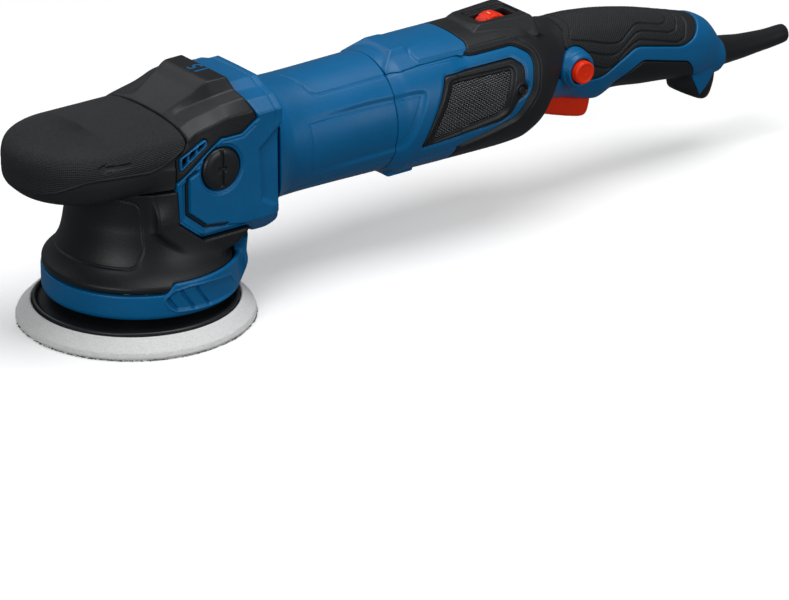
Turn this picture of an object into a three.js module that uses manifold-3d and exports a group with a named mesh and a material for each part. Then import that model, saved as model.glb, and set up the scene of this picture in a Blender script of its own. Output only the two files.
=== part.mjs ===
// Dual action (random orbital) polisher with a long neck, a palm grip over the head and a rear
// handle.  Millimetres.  +X runs to the rear handle, +Z up.  The origin is on the drive spindle's
// axis, on the working face of the backing pad.
import * as THREE from 'three';
import { mergeVertices } from 'three/addons/utils/BufferGeometryUtils.js';
import Module from 'manifold-3d';

const wasm = await Module();
wasm.setup();

// ---------------------------------------------------------------- driving dimensions
const GAP = 0.3;                    // clearance between touching pieces
const PAD_RADIUS = 62.5;            // 125 mm backing pad
const PAD_SIDES = 36;
const HUB_HOLE = 3;                 // key hole through the hook face, on the pad's axis
const ORBIT = 7.5;                  // half of the 15 mm orbit
const ORBIT_ANGLE = -145 * Math.PI / 180;
const PAD_X = ORBIT * Math.cos(ORBIT_ANGLE);
const PAD_Y = ORBIT * Math.sin(ORBIT_ANGLE);

const RING_RADIUS = 51.5;           // shroud ring above the pad
const RING_BOTTOM = 14.4;
const RING_TOP = 28.4;
const RING_STEP = 33.4;             // the rear half of the ring stands higher
const NECK_RADIUS = 38;
const ROUND_SIDES = 40;             // sides of the large round forms
const HEAD_HALF = 39.6;             // half width of the head
const COLLAR_X = 62.4;               // rear face of the head block
const GRIP_REAR = 4.6;              // seam between palm grip and head cover

const MOTOR_Z = 76;                 // height of the motor axis
const BARREL_RADIUS = 31.9;
const REAR_RADIUS = 35.7;
const BARREL_SEAM = 142;            // seam between front barrel and rear motor housing
const WALL = 3;

const PINION_TEETH = 8;
const RING_GEAR_TEETH = 32;
const RING_GEAR_PITCH = 24;         // outer pitch radius of the ring gear
const FACE_WIDTH = 8;

const LOCK_X = 267.8;
const LOCK_Z = 77.4;
const BOSS_RADIUS = 11.2;
const DIAL_X = 227;
const DIAL_Z = 102.2;               // axis of the speed dial
const REST_Z = 30.6;                // underside of the heel below the tail
const CORD_Z = 54.4;                // height of the cord outlet
const TAIL_X = 383.4;                 // rear end of the handle

// ---------------------------------------------------------------- materials
const paint = (color, roughness, metalness = 0) => (
  new THREE.MeshStandardMaterial({ color, roughness, metalness }));
const BLUE = paint(0x145a8c, 0.45);
const BLACK = paint(0x1c2023, 0.6);
const RUBBER = paint(0x202427, 0.8);
const RED = paint(0xd9401f, 0.4);
const FOAM = paint(0xd8d8d8, 0.95);
const HOOK = paint(0x18181a, 1.0);
const STEEL = paint(0xa6a9ad, 0.35, 1);
const ALUMINIUM = paint(0xb4b7ba, 0.5, 1);
const COPPER = paint(0xb06a38, 0.4, 1);
const LAMINATION = paint(0x6c7075, 0.5, 1);
const CARBON = paint(0x2a2a2a, 0.7);
const BRASS = paint(0xb5964a, 0.4, 1);
const MESH_STEEL = paint(0x8b8f92, 0.45, 1);
const NYLON = paint(0x34383b, 0.6);

// ---------------------------------------------------------------- solid helpers
function toSolid(geometry) {
  const bare = geometry.clone();
  bare.deleteAttribute('normal');
  bare.deleteAttribute('uv');
  const merged = mergeVertices(bare, 1e-4);
  const position = merged.attributes.position;
  const index = merged.index.array;
  const triangles = [];
  let volume = 0;
  const a = new THREE.Vector3();
  const b = new THREE.Vector3();
  const c = new THREE.Vector3();
  for (let i = 0; i < index.length; i += 3) {
    const [p, q, r] = [index[i], index[i + 1], index[i + 2]];
    if (p === q || q === r || r === p) continue;
    triangles.push(p, q, r);
    a.fromBufferAttribute(position, p);
    b.fromBufferAttribute(position, q);
    c.fromBufferAttribute(position, r);
    volume += a.dot(b.cross(c));
  }
  if (volume < 0) {
    for (let i = 0; i < triangles.length; i += 3) {
      [triangles[i], triangles[i + 1]] = [triangles[i + 1], triangles[i]];
    }
  }
  return new wasm.Manifold(new wasm.Mesh({
    numProp: 3,
    vertProperties: new Float32Array(position.array),
    triVerts: new Uint32Array(triangles),
  }));
}

function toGeometry(solid) {
  const mesh = solid.getMesh();
  const geometry = new THREE.BufferGeometry();
  geometry.setAttribute('position', new THREE.BufferAttribute(new Float32Array(mesh.vertProperties), 3));
  geometry.setIndex(new THREE.BufferAttribute(new Uint32Array(mesh.triVerts), 1));
  geometry.computeVertexNormals();
  return geometry;
}

// A skin through rings of points, closed at both ends.
function skin(rings) {
  const count = rings[0].length;
  const vertices = rings.flat();
  const triangles = [];
  for (let i = 0; i + 1 < rings.length; i += 1) {
    for (let j = 0; j < count; j += 1) {
      const a = i * count + j;
      const b = i * count + (j + 1) % count;
      triangles.push(a, b, a + count, b, b + count, a + count);
    }
  }
  for (const end of [0, rings.length - 1]) {
    const centre = new THREE.Vector3();
    rings[end].forEach((point) => centre.add(point));
    vertices.push(centre.divideScalar(count));
    const hub = vertices.length - 1;
    for (let j = 0; j < count; j += 1) {
      const a = end * count + j;
      const b = end * count + (j + 1) % count;
      if (end === 0) triangles.push(b, a, hub);
      else triangles.push(a, b, hub);
    }
  }
  const geometry = new THREE.BufferGeometry().setFromPoints(vertices);
  geometry.setIndex(triangles);
  return toSolid(geometry);
}

const PLACE = {
  xy: new THREE.Matrix4(),
  xz: new THREE.Matrix4().makeBasis(
    new THREE.Vector3(1, 0, 0), new THREE.Vector3(0, 0, 1), new THREE.Vector3(0, 1, 0)),
  yz: new THREE.Matrix4().makeBasis(
    new THREE.Vector3(0, 1, 0), new THREE.Vector3(0, 0, 1), new THREE.Vector3(1, 0, 0)),
};

// An outline in the named plane, extruded along the third axis from low to high.
function prism(plane, outline, low, high) {
  const shape = outline instanceof THREE.Shape
    ? outline
    : new THREE.Shape(outline.map(([x, y]) => new THREE.Vector2(x, y)));
  const options = { depth: high - low, bevelEnabled: false, curveSegments: 8 };
  const geometry = new THREE.ExtrudeGeometry(shape, options);
  geometry.translate(0, 0, low);
  geometry.applyMatrix4(PLACE[plane]);
  return toSolid(geometry);
}

function box(x0, x1, y0, y1, z0, z1) {
  const geometry = new THREE.BoxGeometry(x1 - x0, y1 - y0, z1 - z0);
  geometry.translate((x0 + x1) / 2, (y0 + y1) / 2, (z0 + z1) / 2);
  return toSolid(geometry);
}

// A profile of [radius, height] pairs turned about an upright axis at (x, y).
function turned(profile, x = 0, y = 0, segments = 32) {
  const points = profile.map(([r, h]) => new THREE.Vector2(r, h));
  const onAxis = profile[0][0] === 0 && profile[profile.length - 1][0] === 0;
  if (!onAxis) points.push(points[0].clone());
  const geometry = new THREE.LatheGeometry(points, segments);
  geometry.rotateX(Math.PI / 2);
  geometry.translate(x, y, 0);
  return toSolid(geometry);
}

// The same, about an axis along X (heights run along +X) through (y, z).
function turnedX(profile, y = 0, z = MOTOR_Z, segments = 32) {
  const points = profile.map(([r, h]) => new THREE.Vector2(r, h));
  const onAxis = profile[0][0] === 0 && profile[profile.length - 1][0] === 0;
  if (!onAxis) points.push(points[0].clone());
  const geometry = new THREE.LatheGeometry(points, segments);
  geometry.rotateZ(-Math.PI / 2);
  geometry.translate(0, y, z);
  return toSolid(geometry);
}

// The same, about an axis along Y through (x, z).
function turnedY(profile, x, z, segments = 24) {
  const points = profile.map(([r, h]) => new THREE.Vector2(r, h));
  const onAxis = profile[0][0] === 0 && profile[profile.length - 1][0] === 0;
  if (!onAxis) points.push(points[0].clone());
  const geometry = new THREE.LatheGeometry(points, segments);
  geometry.translate(x, 0, z);
  return toSolid(geometry);
}

const rodProfile = (r, low, high) => [[0, low], [r, low], [r, high], [0, high]];
const rod = (r, z0, z1, x = 0, y = 0, segments = 24) => turned(rodProfile(r, z0, z1), x, y, segments);
const rodX = (r, x0, x1, y = 0, z = MOTOR_Z, segments = 24) => turnedX(rodProfile(r, x0, x1), y, z, segments);
const rodY = (r, y0, y1, x, z, segments = 20) => turnedY(rodProfile(r, y0, y1), x, z, segments);
const mirrorY = (solid) => solid.mirror([0, 1, 0]);

// A rounded section across X: half width, top, bottom and squareness (2 is an ellipse).
function sectionAt({ x, w, top, bottom, square }, inset, count) {
  const middle = (top + bottom) / 2;
  const half = (top - bottom) / 2 - inset;
  const ring = [];
  for (let j = 0; j < count; j += 1) {
    const angle = 2 * Math.PI * (j + 0.5) / count;
    const c = Math.cos(angle);
    const s = Math.sin(angle);
    ring.push(new THREE.Vector3(
      x,
      (w - inset) * Math.sign(c) * Math.abs(c) ** (2 / square),
      middle + half * Math.sign(s) * Math.abs(s) ** (2 / square),
    ));
  }
  return ring;
}
const hull = (stations, inset = 0, count = 32) => skin(stations.map((s) => sectionAt(s, inset, count)));

const model = new THREE.Group();
function piece(name, solid, material) {
  const mesh = new THREE.Mesh(toGeometry(solid), material);
  mesh.name = name;
  model.add(mesh);
}

// ---------------------------------------------------------------- outer forms
// Plan outline of the palm grip: straight sides and a round front, drawn in by an inset.
function gripRing(z, inset) {
  const half = 39 - inset;
  const centre = -36.5;
  const ring = [];
  for (let i = 0; i < 3; i += 1) ring.push([GRIP_REAR - GAP - i * 13.6, -half]);
  for (let i = 0; i <= 16; i += 1) {
    const angle = -Math.PI / 2 - Math.PI * i / 16;
    ring.push([centre + half * Math.cos(angle), half * Math.sin(angle)]);
  }
  for (let i = 2; i >= 0; i -= 1) ring.push([GRIP_REAR - GAP - i * 13.6, half]);
  for (let i = 1; i < 6; i += 1) ring.push([GRIP_REAR - GAP, half * (1 - i / 3)]);
  return ring.map(([x, y]) => new THREE.Vector3(x, y, z));
}

const GRIP_LEVELS = [
  [75.8, 20], [76.2, 13], [78, 6.6], [82, 2.2], [88, 0.2], [97, 0], [102, 1.2],
  [105, 4], [107.2, 9], [108.8, 16], [110, 30],
];

const HEAD_SIDE = [
  [-2.4, 81.4], [-2, 60], [12.8, 48], [42, 48], [48, 41], [COLLAR_X - 6, 41],
  [COLLAR_X, 47], [COLLAR_X, 130], [-2.4, 130],
];
const ARCH = [
  [-HEAD_HALF, 51], [-31, 40.8], [31, 40.8], [HEAD_HALF, 51], [HEAD_HALF, 110.4], [34, 114.6],
  [27, 117], [12, 119.6], [0, 120], [-12, 119.6], [-27, 117], [-34, 114.6], [-HEAD_HALF, 110.4],
];
const COVER_SIDE = [
  [GRIP_REAR, 140], [GRIP_REAR, 101.6], [-2.4, 94], [-2.4, 81.8], [25, 99.8], [37.5, 99.8],
  [47.4, 106], [43.6, 116.4], [41, 127], [41, 140],
];
const CHEEK_SIDE = [
  [-15, 77.4], [-15, 57.5], [-12, 54.5], [9, 39.5], [19.5, 36.4], [34, 41], [41.6, 47.4], [41.6, 77.4],
];

// Half outline of the head cover across X, from the crown outwards: [y, z] pairs.
const COVER_STATIONS = [
  { x: -2.4, half: [[0, 106], [14, 105.6], [22, 105], [30, 103.4], [37, 98], [38.4, 84]] },
  { x: 4.6, half: [[0, 110.4], [14, 109.8], [23.6, 108.6], [30.3, 107.2], [38, 103.4], [39.4, 84]] },
  { x: 12, half: [[0, 113.8], [14, 113.8], [19, 110.6], [29, 109.8], [36.6, 106.4], [39.4, 84]] },
  { x: 31.5, half: [[0, 124.2], [19.4, 124.2], [24, 117.6], [32, 115], [38, 110], [39.4, 84]] },
  { x: 46, half: [[0, 124.2], [20, 124.2], [25, 119.4], [33, 116.4], [38.2, 110], [39.4, 84]] },
];

function coverForm() {
  return skin(COVER_STATIONS.map(({ x, half }) => {
    const right = half.map(([y, z]) => new THREE.Vector3(x, -y, z));
    const left = half.slice(1).reverse().map(([y, z]) => new THREE.Vector3(x, y, z));
    return [...right, ...left];
  }));
}

// Stations of the motor barrel, the rear housing and the handle.
const round = (x, r, square = 2) => ({ x, w: r, top: MOTOR_Z + r, bottom: MOTOR_Z - r, square });
const FRONT_BARREL = [
  round(COLLAR_X + GAP, 35.5), round(66, 32.8), round(72, BARREL_RADIUS), round(BARREL_SEAM, 32.4),
];
const REAR_BODY = [
  { x: BARREL_SEAM + GAP, w: 33, top: 108.6, bottom: 43.2, square: 2.03 },
  { x: 151, w: 34.8, top: 110, bottom: 41, square: 2.2 },
  { x: 215, w: 35.7, top: 110.2, bottom: 40.4, square: 2.25 },
  { x: 230, w: 35, top: 109.6, bottom: 41, square: 2.25 },
  { x: 240, w: 33, top: 107.4, bottom: 44.6, square: 2.25 },
  { x: 250, w: 28.6, top: 103.6, bottom: 50.5, square: 2.25 },
  { x: 258, w: 24.5, top: 100.6, bottom: 56, square: 2.3 },
  { x: 268, w: 21.6, top: 99.8, bottom: 58.6, square: 2.4 },
];
const HANDLE = [
  { x: 243, w: 27.6, top: 102.4, bottom: 53, square: 2.3 },
  { x: 250, w: 25.6, top: 101.4, bottom: 56, square: 2.3 },
  { x: 258, w: 23.2, top: 100, bottom: 56.6, square: 2.3 },
  { x: 268, w: 21.2, top: 99.8, bottom: 55.4, square: 2.4 },
  { x: 280, w: 20.2, top: 99.8, bottom: 51.6, square: 2.4 },
  { x: 291, w: 19.8, top: 98.9, bottom: 49.4, square: 2.4 },
  { x: 302, w: 19.4, top: 97.4, bottom: 53, square: 2.4 },
  { x: 325, w: 19, top: 92.8, bottom: 50.4, square: 2.4 },
  { x: 343, w: 18.4, top: 88, bottom: 48.6, square: 2.4 },
  { x: 358, w: 17.2, top: 84.2, bottom: 46, square: 2.4 },
  { x: 367, w: 15.4, top: 81.4, bottom: 45, square: 2.3 },
  { x: 374, w: 13.2, top: 77.4, bottom: 45, square: 2.2 },
  { x: 379.4, w: 11.2, top: 71.2, bottom: 45.2, square: 2.1 },
  { x: TAIL_X, w: 10, top: 64, bottom: 45.4, square: 2.1 },
];

const GRIP_EDGE = [
  [240, 78], [253, 78], [262, 67.4], [289.4, 66.6], [313.5, 78.6], [347, 70.8], [355, 74.4], [358, 82],
  [362, 110], [240, 110],
];
const UNDER_EDGE = [
  [298.6, 59.3], [317.9, 70], [349.1, 61.6], [353.5, 56.4], [359.2, 40.5], [359.2, 20], [298.6, 20],
];
const grow = (outline, centre, amount) => outline.map(([a, b]) => {
  const [da, db] = [a - centre[0], b - centre[1]];
  const length = Math.hypot(da, db);
  return [a + da / length * amount, b + db / length * amount];
});

const SIDE_PANEL = [
  [158, 103], [187, 103.4], [195.7, 101], [223.4, 101], [231.6, 96], [232.6, 91.6], [229.4, 77],
  [219, 65], [200, 59.6], [180, 55.4], [163, 54], [152, 62], [149, 76],
];
const VENT_FRAME = [
  [174.4, 96.1], [219.6, 96], [225.4, 91.4], [224.4, 83.1], [226.8, 80.7], [225, 76.8], [219.3, 74.4],
  [215.3, 66.5], [208.6, 63.5], [157, 61.3], [162.5, 73.4],
];
const MESH_AREA = [[178, 92], [216.4, 91.2], [210.2, 71.8], [206, 70], [163, 64.6], [168, 74]];
const MESH_CENTRE = [190, 79];
const PANEL_CENTRE = [192, 80];

// ---------------------------------------------------------------- head
function palmGrip() {
  const outer = skin(GRIP_LEVELS.map(([z, inset]) => gripRing(z, inset)));
  const bore = rod(31.2, 70, 101.3, 0, 0, 32);
  const neckSeat = rod(NECK_RADIUS + GAP, 70, 78.4, 0, 0, 32);
  const rearCut = prism('xz', [
    [-2.7, 70], [-2.7, 94.2], [GRIP_REAR - GAP, 102], [20, 102], [20, 70],
  ], -60, 60);
  return outer.subtract(bore).subtract(neckSeat).subtract(rearCut);
}

function rearSector(z0, z1, radius) {
  const reach = 80;
  const half = 51 * Math.PI / 180;
  const wedge = prism('xy', [
    [0, 0], [reach * Math.cos(half), -reach * Math.sin(half)], [reach, 0],
    [reach * Math.cos(half), reach * Math.sin(half)],
  ], z0, z1);
  return wedge.intersect(rod(radius, z0, z1, 0, 0, ROUND_SIDES));
}

function skirt() {
  const flare = turned([
    [0, 28.8], [50.9, 28.8], [50.6, 31], [45.4, 35], [41.8, 43.6], [39.6, 52.6],
    [38.2, 62], [NECK_RADIUS, 77.4], [0, 77.4],
  ], 0, 0, ROUND_SIDES);
  const cheeks = prism('xz', CHEEK_SIDE, -40.6, 40.6);
  const headSpace = prism('xz', [
    [-2.4 - GAP, 90], [-2 - GAP, 60 - GAP], [12.8 - GAP, 48 - GAP], [60, 48 - GAP], [60, 90],
  ], -50, 50);
  const inside = turned([
    [0, 20], [47, 20], [47, 30.4], [37, 42], [34.6, 52], [32, 90], [0, 90],
  ], 0, 0, ROUND_SIDES);
  const ringStep = turned([
    [49, 20], [60, 20], [60, RING_STEP + GAP], [49, RING_STEP + GAP],
  ], 0, 0, ROUND_SIDES).intersect(box(-13, 70, -70, 70, 10, 50));
  return flare.add(cheeks)
    .subtract(headSpace)
    .subtract(inside)
    .subtract(ringStep)
    .subtract(rearSector(20, 41, 70).subtract(rod(44, 10, 70, 0, 0, ROUND_SIDES)));
}

function shroudRing() {
  const ring = turned([
    [47.6, RING_BOTTOM], [50.4, RING_BOTTOM], [RING_RADIUS, RING_BOTTOM + 1.2],
    [RING_RADIUS, RING_TOP], [47.6, RING_TOP],
  ], 0, 0, ROUND_SIDES);
  const step = turned([
    [49.3, 20], [RING_RADIUS, 20], [RING_RADIUS, RING_STEP], [49.3, RING_STEP],
  ], 0, 0, ROUND_SIDES).intersect(box(-12.7, 70, -70, 70, 10, 50));
  const bridgeOuter = turned([
    [0, 17.4], [51.5, 17.4], [53.4, 20.4], [55.2, 26], [54.6, 31], [55.6, 40.4], [0, 40.4],
  ], 0, 0, ROUND_SIDES);
  const half = 40 * Math.PI / 180;
  const wedge = prism('xy', [
    [0, 0], [90 * Math.cos(half), -90 * Math.sin(half)], [110, 0], [90 * Math.cos(half), 90 * Math.sin(half)],
  ], 10, 60);
  const bridge = bridgeOuter.intersect(wedge).subtract(rod(48, 5, 60, 0, 0, ROUND_SIDES));
  const recess = (angle) => {
    const slot = box(50.1, 60, -17, 17, 18.4, 29.4);
    return slot.rotate([0, 0, angle]);
  };
  return ring.add(step).add(bridge).subtract(recess(-86)).subtract(recess(86));
}

function headShell() {
  const outer = prism('xz', HEAD_SIDE, -HEAD_HALF, HEAD_HALF).intersect(prism('yz', ARCH, -5, COLLAR_X));
  const coverSpace = prism('xz', grow(COVER_SIDE, [20, 115], GAP), -60, 60);
  const gearSpace = rod(31.2, 30, 101.3, 0, 0, 32);
  const motorSpace = rodX(29, 10, 70, 0, MOTOR_Z, 32);
  const lower = box(-10, 46.4, -33, 33, 30, 66);
  const plugBores = rodY(12, -60, -36.6, 24.4, 83.7).add(rodY(12, 36.6, 60, 24.4, 83.7));
  const gripSpace = box(-10, GRIP_REAR + GAP, -60, 60, 93, 140);
  const cuts = [coverSpace, gripSpace, gearSpace, motorSpace, lower, plugBores];
  return cuts.reduce((solid, cut) => solid.subtract(cut), outer);
}

function headCover() {
  const form = coverForm().intersect(prism('xz', COVER_SIDE, -60, 60));
  const inside = rod(31.2, 70, 101.3, 0, 0, 32).add(rodX(28, 3, 20, 0, MOTOR_Z, 28));
  const headSpace = prism('yz', [
    [-36.6, 60], [36.6, 60], [36.6, 104], [30, 107], [-30, 107], [-36.6, 104],
  ], 14, 60);
  const windows = [-1, 1].map((side) => (
    prism('xz', grow(WINDOW, [8, 95], GAP), side < 0 ? -45 : 35, side < 0 ? -35 : 45)));
  return windows.reduce((solid, cut) => solid.subtract(cut), form.subtract(inside).subtract(headSpace));
}

const WINDOW = [[-0.3, 94.6], [15.6, 101.6], [16.6, 98.4], [-0.3, 87.4]];
function ventInsert() {
  const plate = prism('xz', WINDOW, -38.2, -35.6);
  const slots = [1, 5.8, 10.6].map((x) => prism('xz', [
    [x, 88.9 + x * 0.64], [x + 3.6, 91.3 + x * 0.64], [x + 3.6, 95.4 + x * 0.44], [x, 93.8 + x * 0.44],
  ], -45, -30));
  return slots.reduce((solid, slot) => solid.subtract(slot), plate);
}

function sidePlug() {
  const head = turnedY([[0, -40.4], [9.6, -40.4], [11.4, -39], [11.4, -37], [0, -37]], 24.4, 83.7, 28);
  const slot = box(23.2, 25.6, -42, -39.4, 74, 94);
  return head.subtract(slot);
}

// ---------------------------------------------------------------- gear train
function gearbox() {
  const outer = rod(30.8, 36, 101, 0, 0, 32).add(rodX(27.4, 5, 56, 0, MOTOR_Z, 28));
  const inside = rod(27.6, 53, 98, 0, 0, 28)
    .add(rod(17.5, 30, 60, 0, 0, 24))
    .add(rod(13.6, 90, 110, 0, 0, 20))
    .add(rodX(23.5, 4, 60, 0, MOTOR_Z, 28));
  return outer.subtract(inside);
}

const RACE_SIDES = 20;
const raceProfile = (bore, outside, low, high) => [
  [bore, low], [outside, low], [outside, high], [bore, high],
];
const bearing = (bore, outside, z0, z1, x = 0, y = 0) => (
  turned(raceProfile(bore, outside, z0, z1), x, y, RACE_SIDES));
const bearingX = (bore, outside, x0, x1) => (
  turnedX(raceProfile(bore, outside, x0, x1), 0, MOTOR_Z, RACE_SIDES));

const MODULE = 2 * RING_GEAR_PITCH / RING_GEAR_TEETH;
const PINION_PITCH = RING_GEAR_PITCH * PINION_TEETH / RING_GEAR_TEETH;
const TIP_HALF = 0.16;              // half width of a tooth's tip, in modules

// One bevel tooth about the cone's own axis (local +Z, apex at the origin): a wedge that narrows
// towards the apex.  Its height and half widths are in modules.
function bevelTooth({ pitchRadius, pitchHeight, rise, fall, rootHalf, direction }) {
  const length = Math.hypot(pitchRadius, pitchHeight);
  const along = [pitchRadius / length, pitchHeight / length];
  const out = [-along[1] * direction, along[0] * direction];
  const rings = [1, (length - FACE_WIDTH) / length].map((scale) => (
    [[-rootHalf, -fall], [rootHalf, -fall], [TIP_HALF, rise], [-TIP_HALF, rise]].map(([side, height]) => (
      new THREE.Vector3(
        (pitchRadius + out[0] * height * MODULE) * scale,
        side * MODULE * scale,
        (pitchHeight + out[1] * height * MODULE) * scale,
      )))));
  return skin(rings);
}

// The ring gear's apex is on the motor axis; it stands below with its teeth up.
function ringGear() {
  const disc = turned([
    [9.4, 61], [26, 61], [26, 68], [24.2, 68.2], [16, 70.4], [9.4, 70.4],
  ], 0, 0, RING_GEAR_TEETH);
  const tooth = bevelTooth({
    pitchRadius: RING_GEAR_PITCH, pitchHeight: -PINION_PITCH, direction: 1,
    rise: 0.8, fall: 1.35, rootHalf: 0.42,
  });
  let gear = disc;
  for (let i = 0; i < RING_GEAR_TEETH; i += 1) {
    gear = gear.add(tooth.translate([0, 0, MOTOR_Z]).rotate([0, 0, 360 * i / RING_GEAR_TEETH]));
  }
  return gear;
}

// The pinion's axis is the motor axis; half a tooth of phase puts a gap opposite the ring's tooth.
function pinion() {
  const near = RING_GEAR_PITCH - FACE_WIDTH;
  const root = (x) => x * PINION_PITCH / RING_GEAR_PITCH - 1.15 * MODULE * x / RING_GEAR_PITCH;
  const cone = turnedX([
    [0, near], [root(near), near], [root(RING_GEAR_PITCH), RING_GEAR_PITCH],
    [root(RING_GEAR_PITCH), RING_GEAR_PITCH + 3], [0, RING_GEAR_PITCH + 3],
  ], 0, 0, 24);
  const tooth = bevelTooth({
    pitchRadius: PINION_PITCH, pitchHeight: RING_GEAR_PITCH, direction: -1,
    rise: 0.75, fall: 1.3, rootHalf: 0.44,
  }).rotate([0, 90, 0]);
  let gear = cone;
  for (let i = 0; i < PINION_TEETH; i += 1) {
    gear = gear.add(tooth.rotate([360 * (i + 0.5) / PINION_TEETH, 0, 0]));
  }
  return gear.translate([0, 0, MOTOR_Z]);
}

function spindle() {
  return turned([
    [0, 34.2], [16, 34.2], [16, 37.4], [9, 37.4], [9, 73], [6, 73], [6, 99], [0, 99],
  ], 0, 0, 20);
}

// Counterweight block: carries the offset pad bearing and balances it on the far side.
function eccentric() {
  const disc = rod(17, 15.6, 33.8, 0, 0, 28).add(rod(14.8, 15.6, 33.8, PAD_X, PAD_Y, 24));
  const weight = prism('xy', (() => {
    const outline = [];
    for (let i = 0; i <= 14; i += 1) {
      const angle = ORBIT_ANGLE + Math.PI + (i / 14 - 0.5) * Math.PI * 0.9;
      outline.push([42 * Math.cos(angle), 42 * Math.sin(angle)]);
    }
    outline.push([8 * Math.cos(ORBIT_ANGLE), 8 * Math.sin(ORBIT_ANGLE)]);
    return outline;
  })(), 19, 29);
  return disc.add(weight).subtract(rod(13.4, 10, 30, PAD_X, PAD_Y, 24));
}

// ---------------------------------------------------------------- pad
function hookFace() {
  return turned([
    [HUB_HOLE, 0], [61.6, 0], [62, 0.6], [61.6, 1.3], [HUB_HOLE, 1.3],
  ], PAD_X, PAD_Y, PAD_SIDES);
}
function foamPad() {
  return turned([
    [9, 1.6], [PAD_RADIUS - 0.6, 1.6], [PAD_RADIUS, 2.6], [61.4, 4.2], [55.4, 10], [54.2, 10.4],
    [53.8, 6.6], [9, 6.6],
  ], PAD_X, PAD_Y, PAD_SIDES);
}
function backingPlate() {
  return turned([
    [6.3, 6.9], [53.4, 6.9], [53.4, 11.4], [51.8, 11.4], [51.2, 10], [22, 10.6], [18, 12], [16, 12.8],
    [6.3, 12.8],
  ], PAD_X, PAD_Y, PAD_SIDES);
}
function padSpindle() {
  return turned([[2.3, 13.1], [9, 13.1], [9, 15], [6, 15], [6, 29], [2.3, 29]], PAD_X, PAD_Y, 24);
}
function padScrew() {
  return turned([
    [0, 2.2], [3.4, 2.2], [5.6, 6], [5.6, 8.6], [2, 8.6], [2, 26], [0, 26],
  ], PAD_X, PAD_Y, 20).subtract(prism('xy', hexagon(2.2, PAD_X, PAD_Y), 0, 4.4));
}
function hexagon(r, x, y) {
  return Array.from({ length: 6 }, (unused, i) => (
    [x + r * Math.cos(Math.PI * i / 3), y + r * Math.sin(Math.PI * i / 3)]));
}

// ---------------------------------------------------------------- motor
const armatureCore = () => {
  const shape = new THREE.Shape();
  const slots = 12;
  for (let i = 0; i < slots; i += 1) {
    const at = (k, r) => {
      const angle = 2 * Math.PI * (i + k) / slots;
      return [r * Math.cos(angle), r * Math.sin(angle)];
    };
    if (i === 0) shape.moveTo(...at(0, 17));
    else shape.lineTo(...at(0, 17));
    shape.lineTo(...at(0.35, 17));
    shape.lineTo(...at(0.7, 17));
    shape.lineTo(...at(0.72, 12));
    shape.lineTo(...at(0.98, 12));
  }
  shape.holes.push(new THREE.Path().absarc(0, 0, 5.3, 0, 2 * Math.PI, true));
  return prism('yz', shape, 94, 140).translate([0, 0, MOTOR_Z]);
};
const windingHead = (x0, x1) => turnedX([
  [5.4, x0], [11, x0], [14.4, x0 + 2], [15.2, (x0 + x1) / 2], [14.4, x1 - 2], [11, x1], [5.4, x1],
], 0, MOTOR_Z, 24);
const COMMUTATOR_BARS = 12;
function commutator() {
  let drum = turnedX([
    [5.3, 155], [11, 155], [11, 168], [12.4, 168], [12.4, 171], [5.3, 171],
  ], 0, MOTOR_Z, 24);
  for (let i = 0; i < COMMUTATOR_BARS; i += 1) {
    drum = drum.subtract(box(153, 166, -0.3, 0.3, 10, 13).rotate([360 * i / COMMUTATOR_BARS, 0, 0])
      .translate([0, 0, MOTOR_Z]));
  }
  return drum;
}
function armatureShaft() {
  return turnedX([
    [0, 27.3], [4, 27.3], [4, 44], [5, 44], [5, 186], [4, 186], [4, 200], [0, 200],
  ], 0, MOTOR_Z, 20);
}
const FAN_BLADES = 9;
function coolingFan() {
  let fan = turnedX([[5.3, 66], [26.6, 66], [26.6, 67.6], [9, 67.6], [9, 76], [5.3, 76]], 0, MOTOR_Z, 28);
  for (let i = 0; i < FAN_BLADES; i += 1) {
    const blade = box(67, 75, -0.7, 0.7, 12, 26.4);
    fan = fan.add(blade.rotate([360 * i / FAN_BLADES, 0, 0]).translate([0, 0, MOTOR_Z]));
  }
  return fan;
}
function stator() {
  const shape = new THREE.Shape();
  const outer = 28;
  for (let i = 0; i < 36; i += 1) {
    const angle = 2 * Math.PI * i / 36;
    const p = [outer * Math.cos(angle), outer * Math.sin(angle)];
    if (i === 0) shape.moveTo(...p);
    else shape.lineTo(...p);
  }
  const hole = new THREE.Path();
  const corner = 48 * Math.PI / 180;
  const steps = 8;
  const arc = (r, a0, a1) => Array.from({ length: steps + 1 }, (unused, i) => {
    const angle = a0 + (a1 - a0) * i / steps;
    return [r * Math.cos(angle), r * Math.sin(angle)];
  });
  const path = [
    ...arc(23.6, -corner, corner), ...arc(18, Math.PI / 2 - 0.72, Math.PI / 2 + 0.72),
    ...arc(23.6, Math.PI - corner, Math.PI + corner), ...arc(18, -Math.PI / 2 - 0.72, -Math.PI / 2 + 0.72),
  ];
  hole.setFromPoints(path.map(([a, b]) => new THREE.Vector2(a, b)));
  shape.holes.push(hole);
  return prism('yz', shape, 94, 140).translate([0, 0, MOTOR_Z]);
}
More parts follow.
